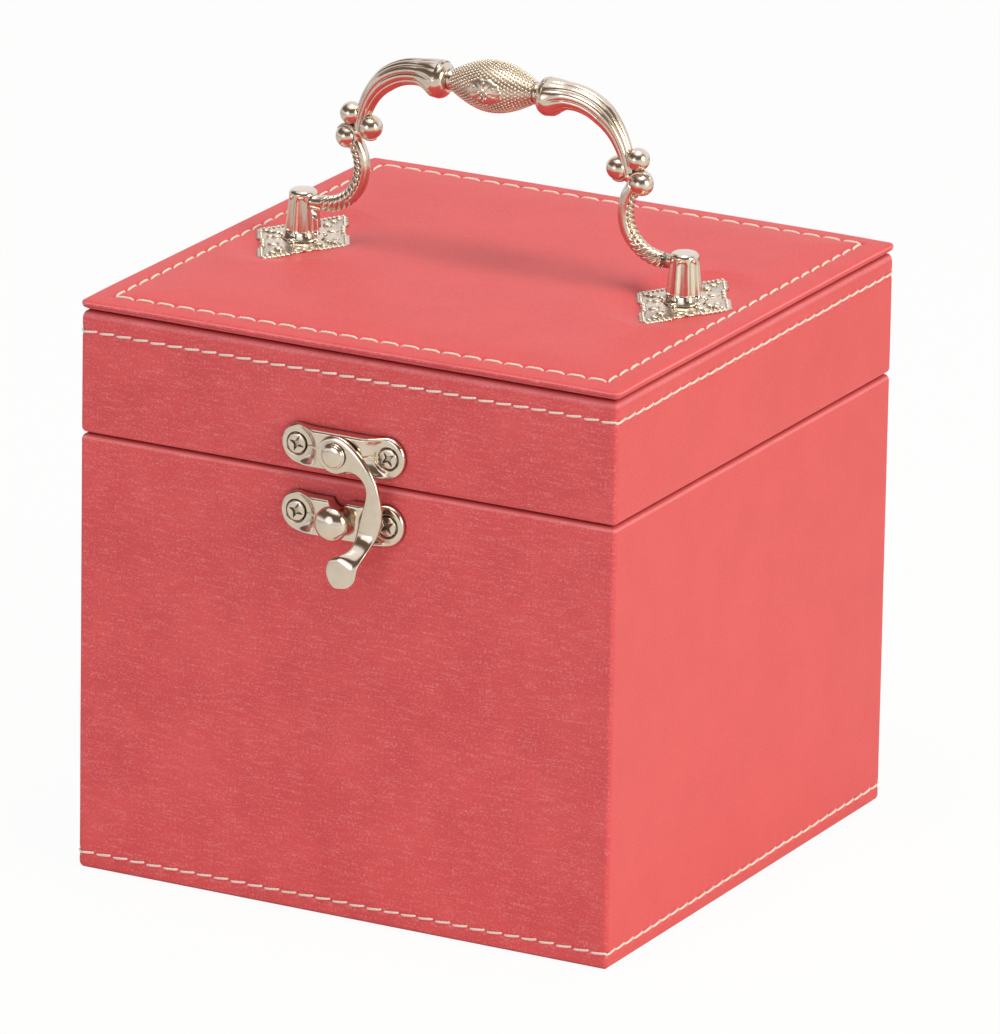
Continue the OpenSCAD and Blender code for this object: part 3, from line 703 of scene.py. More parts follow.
class BOX_OT_stage(Operator):
    """Makes the camera, the lamps, the pale floor and the light room"""
    bl_idname = "bobbin_box.stage"
    bl_label = "Stage"

    def execute(self, context):
        stage = context.scene.box_stage
        self.camera(context, stage)
        self.floor()
        for name, place, size, power, colour in (
                ("key_lamp", (1.75, -0.30, 0.75), 1.0, stage.key_power, (0.99, 1.0, 0.775)),
                ("top_lamp", (0.1, -0.2, 1.7), 0.8, stage.top_power, (1.0, 0.98, 0.82)),
                ("front_lamp", (-0.35, -1.45, 0.42), 0.8, stage.front_power, (1.0, 0.97, 0.97))):
            self.lamp(context, name, place, size, power, colour)
        self.room(context, stage)
        context.scene.view_settings.view_transform = "Standard"
        return {"FINISHED"}

    def camera(self, context, stage):
        """Camera that looks at its aim from the stage's angles and distance."""
        data = bpy.data.cameras.new("camera")
        data.lens = stage.lens
        data.sensor_width = 36
        data.clip_end = 20
        camera = bpy.data.objects.new("camera", data)
        context.scene.collection.objects.link(camera)
        level = cos(stage.elevation)
        away = Vector((sin(stage.azimuth) * level, -cos(stage.azimuth) * level,
                       sin(stage.elevation)))
        turn = away.to_track_quat("Z", "Y").to_matrix().to_4x4()
        camera.matrix_world = (Matrix.Translation(Vector(stage.aim) + away * stage.distance)
                               @ turn @ Matrix.Rotation(stage.roll, 4, "Z"))
        context.scene.camera = camera

    def lamp(self, context, name, place, size, power, colour):
        """Round soft lamp that points at the box's middle."""
        data = bpy.data.lights.new(name, "AREA")
        data.shape = "DISK"
        data.size = size
        data.energy = power
        data.color = colour
        lamp = bpy.data.objects.new(name, data)
        context.scene.collection.objects.link(lamp)
        aim = Vector((0, 0, 0.06))
        lamp.location = place
        lamp.rotation_euler = (Vector(place) - aim).to_track_quat("Z", "Y").to_euler()

    def floor(self):
        """Pale floor that shows to the camera as nearly white, with the box's soft shadow."""
        half, white_share = 4.0, 0.95
        piece = add_piece("floor", [(-half, -half, 0), (half, -half, 0), (half, half, 0),
                                    (-half, half, 0)], [(0, 1, 2, 3)])
        piece.location.z = -0.05 * MM
        made, tree, shader = material("pale_floor", (0.86, 0.86, 0.86), roughness=0.7)
        shader.inputs["Specular IOR Level"].default_value = 0.1
        seen = add_node(tree, "ShaderNodeLightPath")
        glow = add_node(tree, "ShaderNodeEmission", {"Color": (1, 1, 1, 1), "Strength": 1.0})
        share = calc(tree, "MULTIPLY", seen.outputs["Is Camera Ray"], white_share)
        mixed = add_node(tree, "ShaderNodeMixShader", {"Fac": share})
        tree.links.new(shader.outputs["BSDF"], mixed.inputs[1])
        tree.links.new(glow.outputs["Emission"], mixed.inputs[2])
        tree.links.new(mixed.outputs["Shader"], tree.nodes["Material Output"].inputs["Surface"])
        piece.data.materials.append(made)

    def room(self, context, stage):
        """Light from all round. In reflections it has a brown, uneven band in front."""
        world = bpy.data.worlds.new("room")
        context.scene.world = world
        world.use_nodes = True
        tree = world.node_tree
        tree.nodes.clear()
        ways = add_node(tree, "ShaderNodeTexCoord").outputs["Generated"]
        split = add_node(tree, "ShaderNodeSeparateXYZ", {"Vector": ways}).outputs
        seen = add_node(tree, "ShaderNodeLightPath").outputs

        def background(colour, strength):
            return add_node(tree, "ShaderNodeBackground",
                            {"Color": colour, "Strength": strength}).outputs[0]

        def either(share, first, second):
            mixed = add_node(tree, "ShaderNodeMixShader", {"Fac": share})
            tree.links.new(first, mixed.inputs[1])
            tree.links.new(second, mixed.inputs[2])
            return mixed.outputs[0]

        uneven = add_node(tree, "ShaderNodeTexNoise", {"Vector": ways, "Scale": 2.6, "Detail": 1.0})
        height = calc(tree, "MULTIPLY_ADD", uneven.outputs["Fac"], 0.30, split["Z"])
        band = calc(tree, "MULTIPLY", ramp(tree, height, 0.22, 0.42),
                    ramp(tree, height, 0.98, 0.90))
        shade = calc(tree, "MULTIPLY", band, ramp(tree, split["Y"], 0.55, 0.10))
        studio_colour = blend_colour(tree, shade, (1, 1, 1), (0.15, 0.108, 0.075))
        white = (1, 1, 1, 1)
        shiny = either(seen["Is Glossy Ray"], background(white, stage.sky),
                       background(studio_colour, 1.0))
        clear = calc(tree, "MAXIMUM", seen["Is Camera Ray"], seen["Is Transmission Ray"])
        out = add_node(tree, "ShaderNodeOutputWorld")
        tree.links.new(either(clear, shiny, background(white, 1.0)), out.inputs["Surface"])


class BOX_OT_base_skin(Operator):
    """Covers the base in leatherette with a sewn lower edge"""
    bl_idname = "bobbin_box.base_skin"
    bl_label = "Base skin"

    def execute(self, context):
        leather = context.scene.box_leather
        low, high = corners("base_cover")
        foot, lip, under = 1.4 * MM, 1.4 * MM, 14 * MM
        row = low.z + leather.base_row
        profile = [(under, low.z), (4 * MM, low.z)]
        profile += [(inset, low.z + foot + rise)
                    for inset, rise in arc_profile(foot, -90, 0, 7)]
        profile += [(0, row + step * MM) for step in SEAM_STEPS]
        profile += [(0, row + (high.z - row) * s) for s in (0.1, 0.3, 0.5, 0.7, 0.9)]
        profile += [(inset, high.z - lip + rise) for inset, rise in arc_profile(lip, 0, 90, 7)]
        profile += [(TURN_IN, high.z), (TURN_IN, high.z - SKIN), (under, low.z + SKIN)]
        cover("base", profile, row, leather)
        dress_node("underside_panel", finish("leatherette"))
        return {"FINISHED"}


class BOX_OT_lid_skin(Operator):
    """Covers the lid in leatherette with a rolled and sewn upper edge"""
    bl_idname = "bobbin_box.lid_skin"
    bl_label = "Lid skin"

    def execute(self, context):
        leather = context.scene.box_leather
        low, high = corners("lid_cover")
        # the roll under the top panel is deeper than it is wide
        lip, roll, roll_depth = 1.25 * MM, 1.3 * MM, 1.9 * MM
        row = high.z - leather.lid_row
        profile = [(TURN_IN, low.z + SKIN), (TURN_IN, low.z)]
        profile += [(inset, low.z + lip + rise) for inset, rise in arc_profile(lip, -90, 0, 7)]
        profile += [(0, low.z + lip + (row - low.z - lip) * s) for s in (0.15, 0.4, 0.65, 0.85)]
        profile += [(0, row + step * MM) for step in SEAM_STEPS]
        profile += [(inset, high.z - roll_depth + rise * roll_depth / roll)
                    for inset, rise in arc_profile(roll, 0, 90, 12)]
        profile += [(TURN_IN, high.z), (TURN_IN, high.z - SKIN)]
        cover("lid", profile, row, leather)
        return {"FINISHED"}


class BOX_OT_top_panel(Operator):
    """Makes the padded and stitched panel on the lid"""
    bl_idname = "bobbin_box.top_panel"
    bl_label = "Top panel"

    def execute(self, context):
        leather = context.scene.box_leather
        low, high = corners("top_panel")
        half_w, half_d = high.x, high.y
        post_x = middle("right_post").x
        row = leather.panel_row
        edge = 0.7 * MM

        def closeness(x, y):
            """0 along the panel's sides, rising to 1 at its corners."""
            start, reach = 16 * MM, 20 * MM
            near = hypot(max(abs(x) - half_w + start, 0), max(abs(y) - half_d + start, 0))
            return min(near / reach, 1) ** 2.2

        def top(x, y):
            """Rise of the padding over the panel's upper face."""
            inset = min(half_w - abs(x), half_d - abs(y))
            rise = leather.crown * clamp((inset - row) / (9 * MM)) ** 0.6
            # 0 under a post's middle, 1 outside the dent that its plate presses
            near = min(hypot((abs(x) - post_x) / 13, y / 21) / MM, 1)
            rise = rise * max(0.0, (near - 0.72) / 0.28) - 0.45 * MM * (1 - near) ** 0.5
            crease = noise.noise(Vector((x * 26, y * 9, 1.7)))
            crease += 0.6 * noise.noise(Vector((x * 60, y * 24, 4.2)))
            rise += 0.16 * MM * crease * clamp((inset - row) / (6 * MM)) * near ** 6
            border = max(1 - inset / (4.5 * MM), 0)
            return rise - 0.16 * MM * border ** 2 - 0.30 * MM * closeness(x, y)

        corner_r, seam_width = 1.6 * MM, 1.1 * MM
        # (inset, height over the groove) in millimetres: two folds over a deep groove
        side = [(4, 0.1), (2.2, 0.05), (1.7, 0.12), (1.3, 0.25), (1.0, 0.42), (0.75, 0.6),
                (0.5, 0.76), (0.32, 0.88), (0.2, 0.98), (0.15, 1.08), (0.2, 1.16),
                (0.3, 1.22), (0.3, 1.28), (0.18, 1.38), (0.06, 1.52), (0.01, 1.66)]
        profile = [(inset * MM, low.z + rise * MM) for inset, rise in side]
        profile += [(inset, high.z - edge + rise) for inset, rise in arc_profile(edge, 0, 90, 8)]
        profile += [(inset * MM, high.z) for inset in (0.8, 1.3, 1.9, 2.6, 3.3, 3.8)]
        profile += [(row + step * MM, high.z)
                    for step in (-1.1, -0.8, -0.5, -0.25, 0, 0.25, 0.5, 0.8, 1.1,
                                 1.8, 2.8, 4, 5.5, 7.5, 10)]
        profile += [(inset * MM, high.z) for inset in range(18, 60, 3)]
        rings = []
        for inset, z in profile:
            ring = []
            for x, y, run, half in box_ring(half_w - inset, half_d - inset, corner_r - inset,
                                            per_side=200, per_corner=10):
                over = clamp((z - low.z) / (high.z - low.z))
                wave = noise.noise(Vector((x * 40, y * 40, z * 150)))
                wave += 0.5 * noise.noise(Vector((x * 130, y * 130, 3.1)))
                lift = top(x, y) * over + 0.13 * MM * wave * min(over, 1 - over) * 2
                if z >= high.z:
                    seam = groove(inset - row, seam_width)
                    pull = gather(run, half + inset - row, leather.panel_pitch)
                    lift -= seam * (0.12 + 0.24 * pull) * MM
                ring.append(Vector((x, y, z + lift)))
            rings.append(ring)
        parts = Parts()
        parts.skin(rings)
        panel = parts.piece("panel_skin")
        dress(panel, "lid", finish("leatherette"), "leatherette", "top_panel")
        rows = Parts()
        for _, _, pitch, turn, centre in seam_places(half_w, half_d, row, row,
                                                     leather.panel_pitch):
            centre.z = high.z + top(centre.x, centre.y) - 0.19 * MM
            stitch(rows, centre, turn @ Vector((1, 0, 0)), Vector((0, 0, 1)),
                   pitch * 0.86, leather.thread_width * 1.15, 0.05)
        dress(rows.piece("panel_stitches"), "lid", finish("thread"), "leatherette")
        return {"FINISHED"}


class BOX_OT_clasp(Operator):
    """Makes the clasp: both stamped plates, the knob, the rivet, the hook and its screws"""
    bl_idname = "bobbin_box.clasp"
    bl_label = "Clasp"

    def execute(self, context):
        self.face_y = corners("knob_plate")[1].y
        nickel_plate = finish("nickel")
        for node, body, notch in (("knob_plate", "base", 2.0 * MM), ("hook_plate", "lid", 0.0)):
            dress(self.plate(node, notch), body, nickel_plate, "nickel", node)
        dress(self.knob(), "base", nickel_plate, "nickel", "clasp_knob")
        dress(self.rivet(), "lid", nickel_plate, "nickel", "hook_rivet")
        dress(self.hook(), "hook", nickel_plate, "nickel", "hook")
        for node, body in (("knob_plate_screws", "base"), ("hook_plate_screws", "lid")):
            dress(self.screws(node), body, finish("sunk nickel"), "nickel", node)
        return {"FINISHED"}

    def on_face(self, centre, u, v, proud):
        """Point on the box's front, from a middle: u to the right, v up, proud outward."""
        return Vector((centre.x + u, self.face_y - proud, centre.z + v))

    def plate(self, node, notch):
        """Stamped plate: dished round ends, and a raised waist that curves round them."""
        centre, half = middle(node), half_size(node)
        half_l, half_w, bridge = half.x, half.z, 2 * half.y
        thick = PLATE_SHARE * bridge
        screw_x = corners(node + "_screws")[1].x - SCREW_R
        # the dish round a screw and the slope up from it, and the slope at the waist's far end
        dish_r, slope = 2.9 * MM, 3.2 * MM
        waist_end, end_slope = screw_x + 0.6 * MM, 2.6 * MM

        def height(u, v):
            """How far the plate stands proud, and the share of it that is the waist's."""
            away = hypot(abs(u) - screw_x, v)
            rise = smooth(clamp((away - dish_r) / slope))
            rise *= smooth(clamp((waist_end - abs(u)) / end_slope))
            # a groove round each screw's head, and a deep seat under it
            ring = 0.45 * MM * groove(away - SCREW_R - 0.12 * MM, 0.42 * MM)
            seat = thick - 0.02 * MM if away < SCREW_R - 0.1 * MM else 0.0
            return thick + (bridge - thick) * rise - ring - seat, rise

        edge, steps = 0.75 * MM, 26
        # (inset, drop below the face or None, share of the height)
        profile = [(0, None, 0.0), (0, None, 0.35)]
        profile += [(inset, rise - edge, 1.0) for inset, rise in arc_profile(edge, 0, 90, 7)]
        profile += [(edge + (half_w - edge) * k / steps, 0.0, 1.0) for k in range(1, steps)]
        rings = []
        for inset, drop, share in profile:
            ring = []
            for u, v in stadium(half_l - half_w, half_w - inset, 72, 44):
                proud, rise = height(u, v)
                v *= 1 - 0.08 * rise
                if notch and hypot(u, v - half_w) < notch:
                    v = half_w - sqrt(max(notch ** 2 - u ** 2, 0)) - 0.2 * inset
                level = proud * share if drop is None else proud + drop
                ring.append(self.on_face(centre, u, v, level))
            rings.append(ring)
        parts = Parts()
        parts.skin(rings)
        return parts.piece(node.replace("plate", "keeper"))

    def screws(self, node):
        """Screws with flat heads and a deep cross."""
        centre = middle(node)
        top = PLATE_SHARE * 2 * half_size(node.replace("_screws", "")).y + 0.05 * MM
        screw_x = corners(node)[1].x - SCREW_R
        parts = Parts()
        steps, sides = 26, 72
        for side, turn in ((-1, 0.35), (1, 0.95)):
            rings = []
            # the first ring is the foot of the head's side
            for i in range(-1, steps):
                radius = SCREW_R * (1 - max(i, 0) / steps)
                bulge = 0.15 * MM * (1 - (radius / SCREW_R) ** 4)
                ring = []
                for a in around(sides):
                    p, q = (abs(radius * cos(a + turn)) / MM, abs(radius * sin(a + turn)) / MM)
                    arm = max(0.34 * (1.3 - p) - q + 0.14, 0.34 * (1.3 - q) - p + 0.14, 0)
                    level = top + bulge - 0.6 * MM * min(arm / 0.12, 1)
                    ring.append(self.on_face(centre, side * screw_x + radius * cos(a),
                                             radius * sin(a), 0.3 * MM if i < 0 else level))
                rings.append(ring)
            parts.skin(rings)
        return parts.piece(node.replace("screws", "screw_pair"))

    def turned(self, name, centre, profile):
        """Round piece on the front face, from (radius, proud) pairs."""
        place = Matrix.Translation((centre.x, self.face_y, centre.z))
        parts = Parts()
        parts.lathe(profile, place @ Matrix.Rotation(pi / 2, 4, "X"), 64)
        return parts.piece(name)

    def knob(self):
        """Knob: slim neck and a full, nearly half-round head."""
        head_r = half_size("clasp_knob").x
        top = self.face_y - corners("clasp_knob")[0].y
        neck_r, head, side = 2.0 * MM, 2.5 * MM, 0.3 * MM
        profile = [(neck_r, 0.5 * MM), (neck_r, top - head - 0.35 * MM),
                   (head_r - 0.5 * MM, top - head - side), (head_r - 0.1 * MM, top - head)]
        profile += dome(head_r, top - head + side, head - side, 16)
        profile.append((0.02 * MM, top))
        return self.turned("knob", middle("clasp_knob"), profile)

    def rivet(self):
        """Rivet: low domed head with a flat rim."""
        head_r = half_size("hook_rivet").x
        top = self.face_y - corners("hook_rivet")[0].y
        shank_r, head, rise, chamfer = 1.6 * MM, 1.0 * MM, 0.55 * MM, 0.12 * MM
        profile = [(shank_r, 0.5 * MM), (shank_r, top - head), (head_r, top - head),
                   (head_r, top - rise - chamfer), (head_r - chamfer, top - rise)]
        profile += dome(head_r - 0.35 * MM, top - rise, rise, 12)
        profile.append((0.02 * MM, top))
        return self.turned("rivet", middle("hook_rivet"), profile)

    def hook(self):
        """Swing hook: a round-edged strip from the boss through the arm to the finger tab."""
        x, y, z = joint("hook_swing")["pos_m"]
        pivot = Vector((x, y, z))
        low, high = corners("hook")
        far, near = self.face_y - low.y, self.face_y - high.y
        thick = 1.4 * MM
        flat = near + thick / 2
        lifted = far - thick / 2
        # outer (u, v) and inner (u, v) in millimetres from the pivot, share of the tab's lift
        stations = [(-3.87, 0.4, -3.87, -0.4, 0), (-3.6, 1.5, -3.6, -1.5, 0),
                    (-2.75, 2.76, -2.75, -2.76, 0), (-1.5, 3.6, -1.5, -3.6, 0),
                    (0.0, 3.9, -0.1, -3.9, 0), (1.5, 3.62, 0.8, -3.82, 0),
                    (3.0, 2.85, 1.65, -3.55, 0), (4.3, 1.9, 2.4, -3.25, 0),
                    (5.4, 0.9, 3.1, -3.1, 0), (6.4, -0.2, 3.9, -3.1, 0),
                    (7.3, -1.3, 4.7, -3.3, 0), (8.1, -2.4, 5.5, -3.75, 0),
                    (8.8, -3.6, 6.2, -4.4, 0), (9.4, -4.9, 6.75, -5.25, 0),
                    (9.85, -6.3, 7.05, -6.3, 0), (10.2, -7.7, 7.05, -7.5, 0),
                    (10.45, -9.2, 6.75, -8.9, 0), (10.55, -10.7, 6.3, -10.3, 0),
                    (10.5, -12.2, 5.85, -11.8, 0), (10.2, -13.7, 5.5, -13.3, 0),
                    (9.75, -15.2, 5.2, -14.9, 0.02), (9.2, -16.5, 5.05, -16.2, 0.12),
                    (8.6, -17.9, 4.95, -17.3, 0.34), (8.1, -19.3, 4.7, -18.1, 0.62),
                    (7.65, -20.6, 4.0, -18.75, 0.86), (7.35, -22.0, 3.0, -19.2, 0.97),
                    (7.2, -23.2, 1.6, -20.0, 1), (6.75, -24.2, 0.85, -21.2, 1),
                    (5.95, -25.1, 0.6, -22.5, 1), (4.8, -25.65, 0.95, -23.9, 1),
                    (3.7, -25.75, 1.7, -24.95, 1), (3.1, -25.65, 2.5, -25.5, 1)]
        knots = [Vector(station) for station in stations]
        knots = [knots[0], *knots, knots[-1]]
        dense = []
        # smooth curve through the stations, with four sections to each
        for before, here, there, after in zip(knots, knots[1:], knots[2:], knots[3:]):
            for t in (0, 0.25, 0.5, 0.75):
                dense.append(0.5 * (2 * here + (there - before) * t
                                    + (2 * before - 5 * here + 4 * there - after) * t * t
                                    + (3 * here - before - 3 * there + after) * t ** 3))
        dense.append(knots[-1])
        rings = []
        for p in dense:
            outer, inner = Vector((p[0], p[1])), Vector((p[2], p[3]))
            middle_point, half = (outer + inner) / 2, (outer - inner).length / 2
            side = (outer - inner).normalized()
            ring = []
            for a in around(48, 0.5):
                across = abs(cos(a)) ** 0.55 * (1 if cos(a) > 0 else -1)
                level = abs(sin(a)) ** 0.72 * (1 if sin(a) > 0 else -1)
                q = middle_point + side * half * across
                proud = flat + (lifted - flat) * p[4] + thick / 2 * level
                ring.append(self.on_face(pivot, q.x * MM, q.y * MM, proud))
            rings.append(ring)
        parts = Parts()
        parts.skin(rings)
        return parts.piece("swing_hook")


class BOX_OT_handle(Operator):
    """Makes the cast handle: twisted scrolls, balls, fluted horns and the beaded grip"""
    bl_idname = "bobbin_box.handle"
    bl_label = "Handle"

    def execute(self, context):
        metal = context.scene.box_metal
        self.axis_z = joint("handle_fold")["pos_m"][2]
        post_x = middle("right_post").x
        self.scroll_x = post_x - 4.6 * MM
        low, high = corners("handle_grip")
        self.grip_half = high.x
        self.grip_z = (low.z + high.z) / 2
        for side, node in ((-1, "left_handle_arm"), (1, "right_handle_arm")):
            parts = Parts()
            self.scroll(parts, metal)
            self.horn(parts)
            self.balls(parts)
            self.pins(parts, post_x)
            # the left arm is the right one turned half round
            points = [Vector((side * p.x, side * p.y, p.z)) for p in parts.points]
            arm = turn_outward(add_piece(node.replace("handle_arm", "arm"), points, parts.faces))
            dress(arm, "handle", finish("cast nickel"), "nickel", node)
        dress(self.grip(metal, (high.z - low.z) / 2), "handle", finish("beaded nickel"), "nickel",
              "handle_grip")
        return {"FINISHED"}

    def ring(self, p, t, radii):
        """Ring about a point (x, z) of the handle's plane, square to the direction t."""
        return [Vector((p.x + r * cos(a) * t.y, r * sin(a), p.y - r * cos(a) * t.x))
                for r, a in zip(radii, around(len(radii)))]

    def scroll(self, parts, metal):
        """Twisted rod that curls up from the post, with a smooth rib along its outer side."""
        radius, rod, steps, sides = 8.7 * MM, 1.55 * MM, 320, 80
        centre = Vector((self.scroll_x, self.axis_z + radius))
        # angle of its foot and how far it curls from there, in degrees
        foot, sweep = 270, 128
        rings = []
        for i in range(steps + 1):
            s = i / steps
            a = radians(foot - sweep * s)
            p = centre + radius * Vector((cos(a), sin(a)))
            t = Vector((sin(a), -cos(a)))
            # the rib starts a quarter of the way up
            shown = clamp((s - 0.25) / 0.2)
            radii = []
            for b in around(sides):
                out = -cos(b - 0.44)
                rib = clamp((out + 0.16) / 0.12) * shown
                gap = groove(out + 0.22, 0.2) * shown
                twist = abs(cos(metal.strands * (b + 2 * pi * metal.turns * s) / 2))
                rope = 0.82 + 0.26 * twist ** 0.8
                radii.append(rod * (rope * (1 - rib) + 1.10 * rib - 0.20 * gap))
            rings.append(self.ring(p, t, radii))
        parts.skin(rings)

    def horn(self, parts):
        """Fluted horn: slender by the balls, swelling to a round bell at the grip."""
        start = Vector((self.scroll_x - 8.0 * MM, self.axis_z + 15.6 * MM))
        lean = Vector((self.scroll_x - 9.7 * MM, self.axis_z + 28.9 * MM))
        reach = Vector((self.scroll_x - 19.1 * MM, self.axis_z + 32.3 * MM))
        end = Vector((self.grip_half + 3.3 * MM, self.grip_z - 0.3 * MM))
        bell, steps, sides = 3.95 * MM, 110, 144

        def at(s):
            """Point of the horn's middle line, for a share of its length."""
            return (start * (1 - s) ** 3 + lean * 3 * s * (1 - s) ** 2
                    + reach * 3 * s * s * (1 - s) + end * s ** 3)

        rings = []
        for i in range(steps + 1):
            s = i / steps
            t = (at(s + 0.01) - at(s - 0.01)).normalized()
            flare = max((s - 0.80) / 0.20, 0)
            radius = (1.35 + 1.0 * min(s / 0.45, 1) ** 1.2 + 0.75 * s ** 2
                      + 0.85 * smooth(flare)) * MM
            depth = 0.12 * min(s / 0.1, 1) * (1 - flare) ** 0.8
            radii = [radius * (1 - depth * (1 - abs(cos(5 * a + 0.5))) ** 1.6)
                     for a in around(sides)]
            rings.append(self.ring(at(s), t, radii))
        for k in range(1, 12):
            a = pi / 2 * k / 11
            p = at(1) - Vector((2.3 * MM * sin(a), 0))
            rings.append(self.ring(p, Vector((-1, 0)), [bell - 2.0 * MM * (1 - cos(a))] * sides))
        parts.skin(rings)

    def balls(self, parts):
        """Cluster of balls where the scroll meets the horn."""
        for dx, dz, radius, sides in ((5.3, 14.9, 2.4, 48), (10.6, 17.5, 2.45, 48),
                                      (6.2, 19.8, 2.35, 48), (7.9, 16.2, 1.5, 32)):
            centre = Vector((self.scroll_x - dx * MM, 0, self.axis_z + dz * MM))
            parts.ball(centre, radius * MM, sides)
        self.curl(parts, (10.6, 17.5, 2.5), 20, -115)
        self.curl(parts, (5.3, 14.9, 2.45), 215, 35)

    def curl(self, parts, ball, start, end):
        """Flat tongue of metal that wraps a ball, from one angle of the plane to another."""
        dx, dz, radius = ball
        centre = Vector((self.scroll_x - dx * MM, self.axis_z + dz * MM))
        turn = 1 if end > start else -1
        steps = 40
        rings = []
        for i in range(steps + 1):
            s = i / steps
            a = radians(start + (end - start) * i / steps)
            p = centre + radius * MM * Vector((cos(a), sin(a)))
            thin, wide = 0.55 * MM * (1 - 0.5 * s ** 2), 1.5 * MM * (1 - 0.6 * s ** 2)
            radii = [1 / hypot(cos(b) / thin, sin(b) / wide) for b in around(24)]
            rings.append(self.ring(p, turn * Vector((-sin(a), cos(a))), radii))
        parts.skin(rings)

    def pins(self, parts, post_x):
        """End pin that turns in the post, and the collar between horn and grip."""
        sideways = Matrix.Rotation(pi / 2, 4, "Y")
        end = Matrix.Translation((self.scroll_x - 0.3 * MM, 0, self.axis_z)) @ sideways
        length = post_x + 1.1 * MM - self.scroll_x
        parts.lathe([(1.5 * MM, 0), (1.5 * MM, length), (1.3 * MM, length + 0.2 * MM)], end)
        neck = Matrix.Translation((self.grip_half - 0.3 * MM, 0, self.grip_z)) @ sideways
        parts.lathe([(1.9 * MM, 0), (1.9 * MM, 0.45 * MM), (2.2 * MM, 0.7 * MM),
                     (2.2 * MM, 1.0 * MM), (1.9 * MM, 1.25 * MM), (1.9 * MM, 2.4 * MM)], neck)

    def grip(self, metal, radius):
        """Oval grip with hexagonally packed beads round a smooth medallion."""
        end_r = 2.0 * MM
        body_r = radius - metal.bead * 0.5
        place = Matrix.Translation((0, 0, self.grip_z)) @ Matrix.Rotation(pi / 2, 4, "Y")

        def swell(x):
            """Radius of the grip's body at a distance from its middle."""
            return end_r + (body_r - end_r) * cos(pi / 2 * x / self.grip_half)

        parts = Parts()
        steps = 60
        places = [self.grip_half * (2 * i / steps - 1) for i in range(steps + 1)]
        parts.lathe([(swell(x), x) for x in places], place, 64)
        pitch = metal.bead * 2.3
        rows = int(2 * self.grip_half / (pitch * 0.87))
        for i in range(rows):
            x = -self.grip_half + (i + 0.5) * 2 * self.grip_half / rows
            r = swell(x)
            count = max(int(2 * pi * r / pitch), 6)
            for a in around(count, 0.5 * (i % 2)):
                y, z = -r * cos(a), r * sin(a)
                if abs(y) > 0.4 * r and hypot(x / MEDALLION[0], z / MEDALLION[1]) < MM:
                    continue
                parts.ball(Vector((x, y, self.grip_z + z)), metal.bead, 10)
        for side in (-1, 1):
            self.medallion(parts, side, swell)
        return parts.piece("grip")

    def medallion(self, parts, side, swell):
        """Smooth oval boss with leaves round its rim and a small five-petalled flower."""
        def at(u, w, lift):
            """Point over the grip's face, in shares of the medallion's half-length and width."""
            x, z = MEDALLION[0] * MM * u, MEDALLION[1] * MM * w
            r = swell(x)
            y = sqrt(max(r * r - z * z, 0)) + lift
            return Vector((x, side * y, self.grip_z + z))

        rings = []
        for share, lift in ((1.0, -0.4), (0.98, 0.02), (0.92, 0.2), (0.8, 0.26), (0.6, 0.34),
                            (0.4, 0.4), (0.2, 0.43), (0.05, 0.44)):
            ring = []
            for a in around(60):
                wave = 1 + 0.05 * cos(10 * a) * min(share * 1.5, 1)
                fold = 0.05 * cos(10 * a) * share * (1 - share) * 4
                ring.append(at(share * wave * cos(a), share * wave * sin(a), (lift + fold) * MM))
            rings.append(ring)
        parts.skin(rings)
        for a in around(5, 1.25):
            parts.ball(at(0.24 * cos(a), 0.33 * sin(a) - 0.18, 0.42 * MM), 0.46 * MM, 12)
        parts.ball(at(0, -0.18, 0.62 * MM), 0.3 * MM, 10)
        for a in around(6, 0.5):
            parts.ball(at(0.66 * cos(a), 0.66 * sin(a), 0.28 * MM), 0.32 * MM, 10)


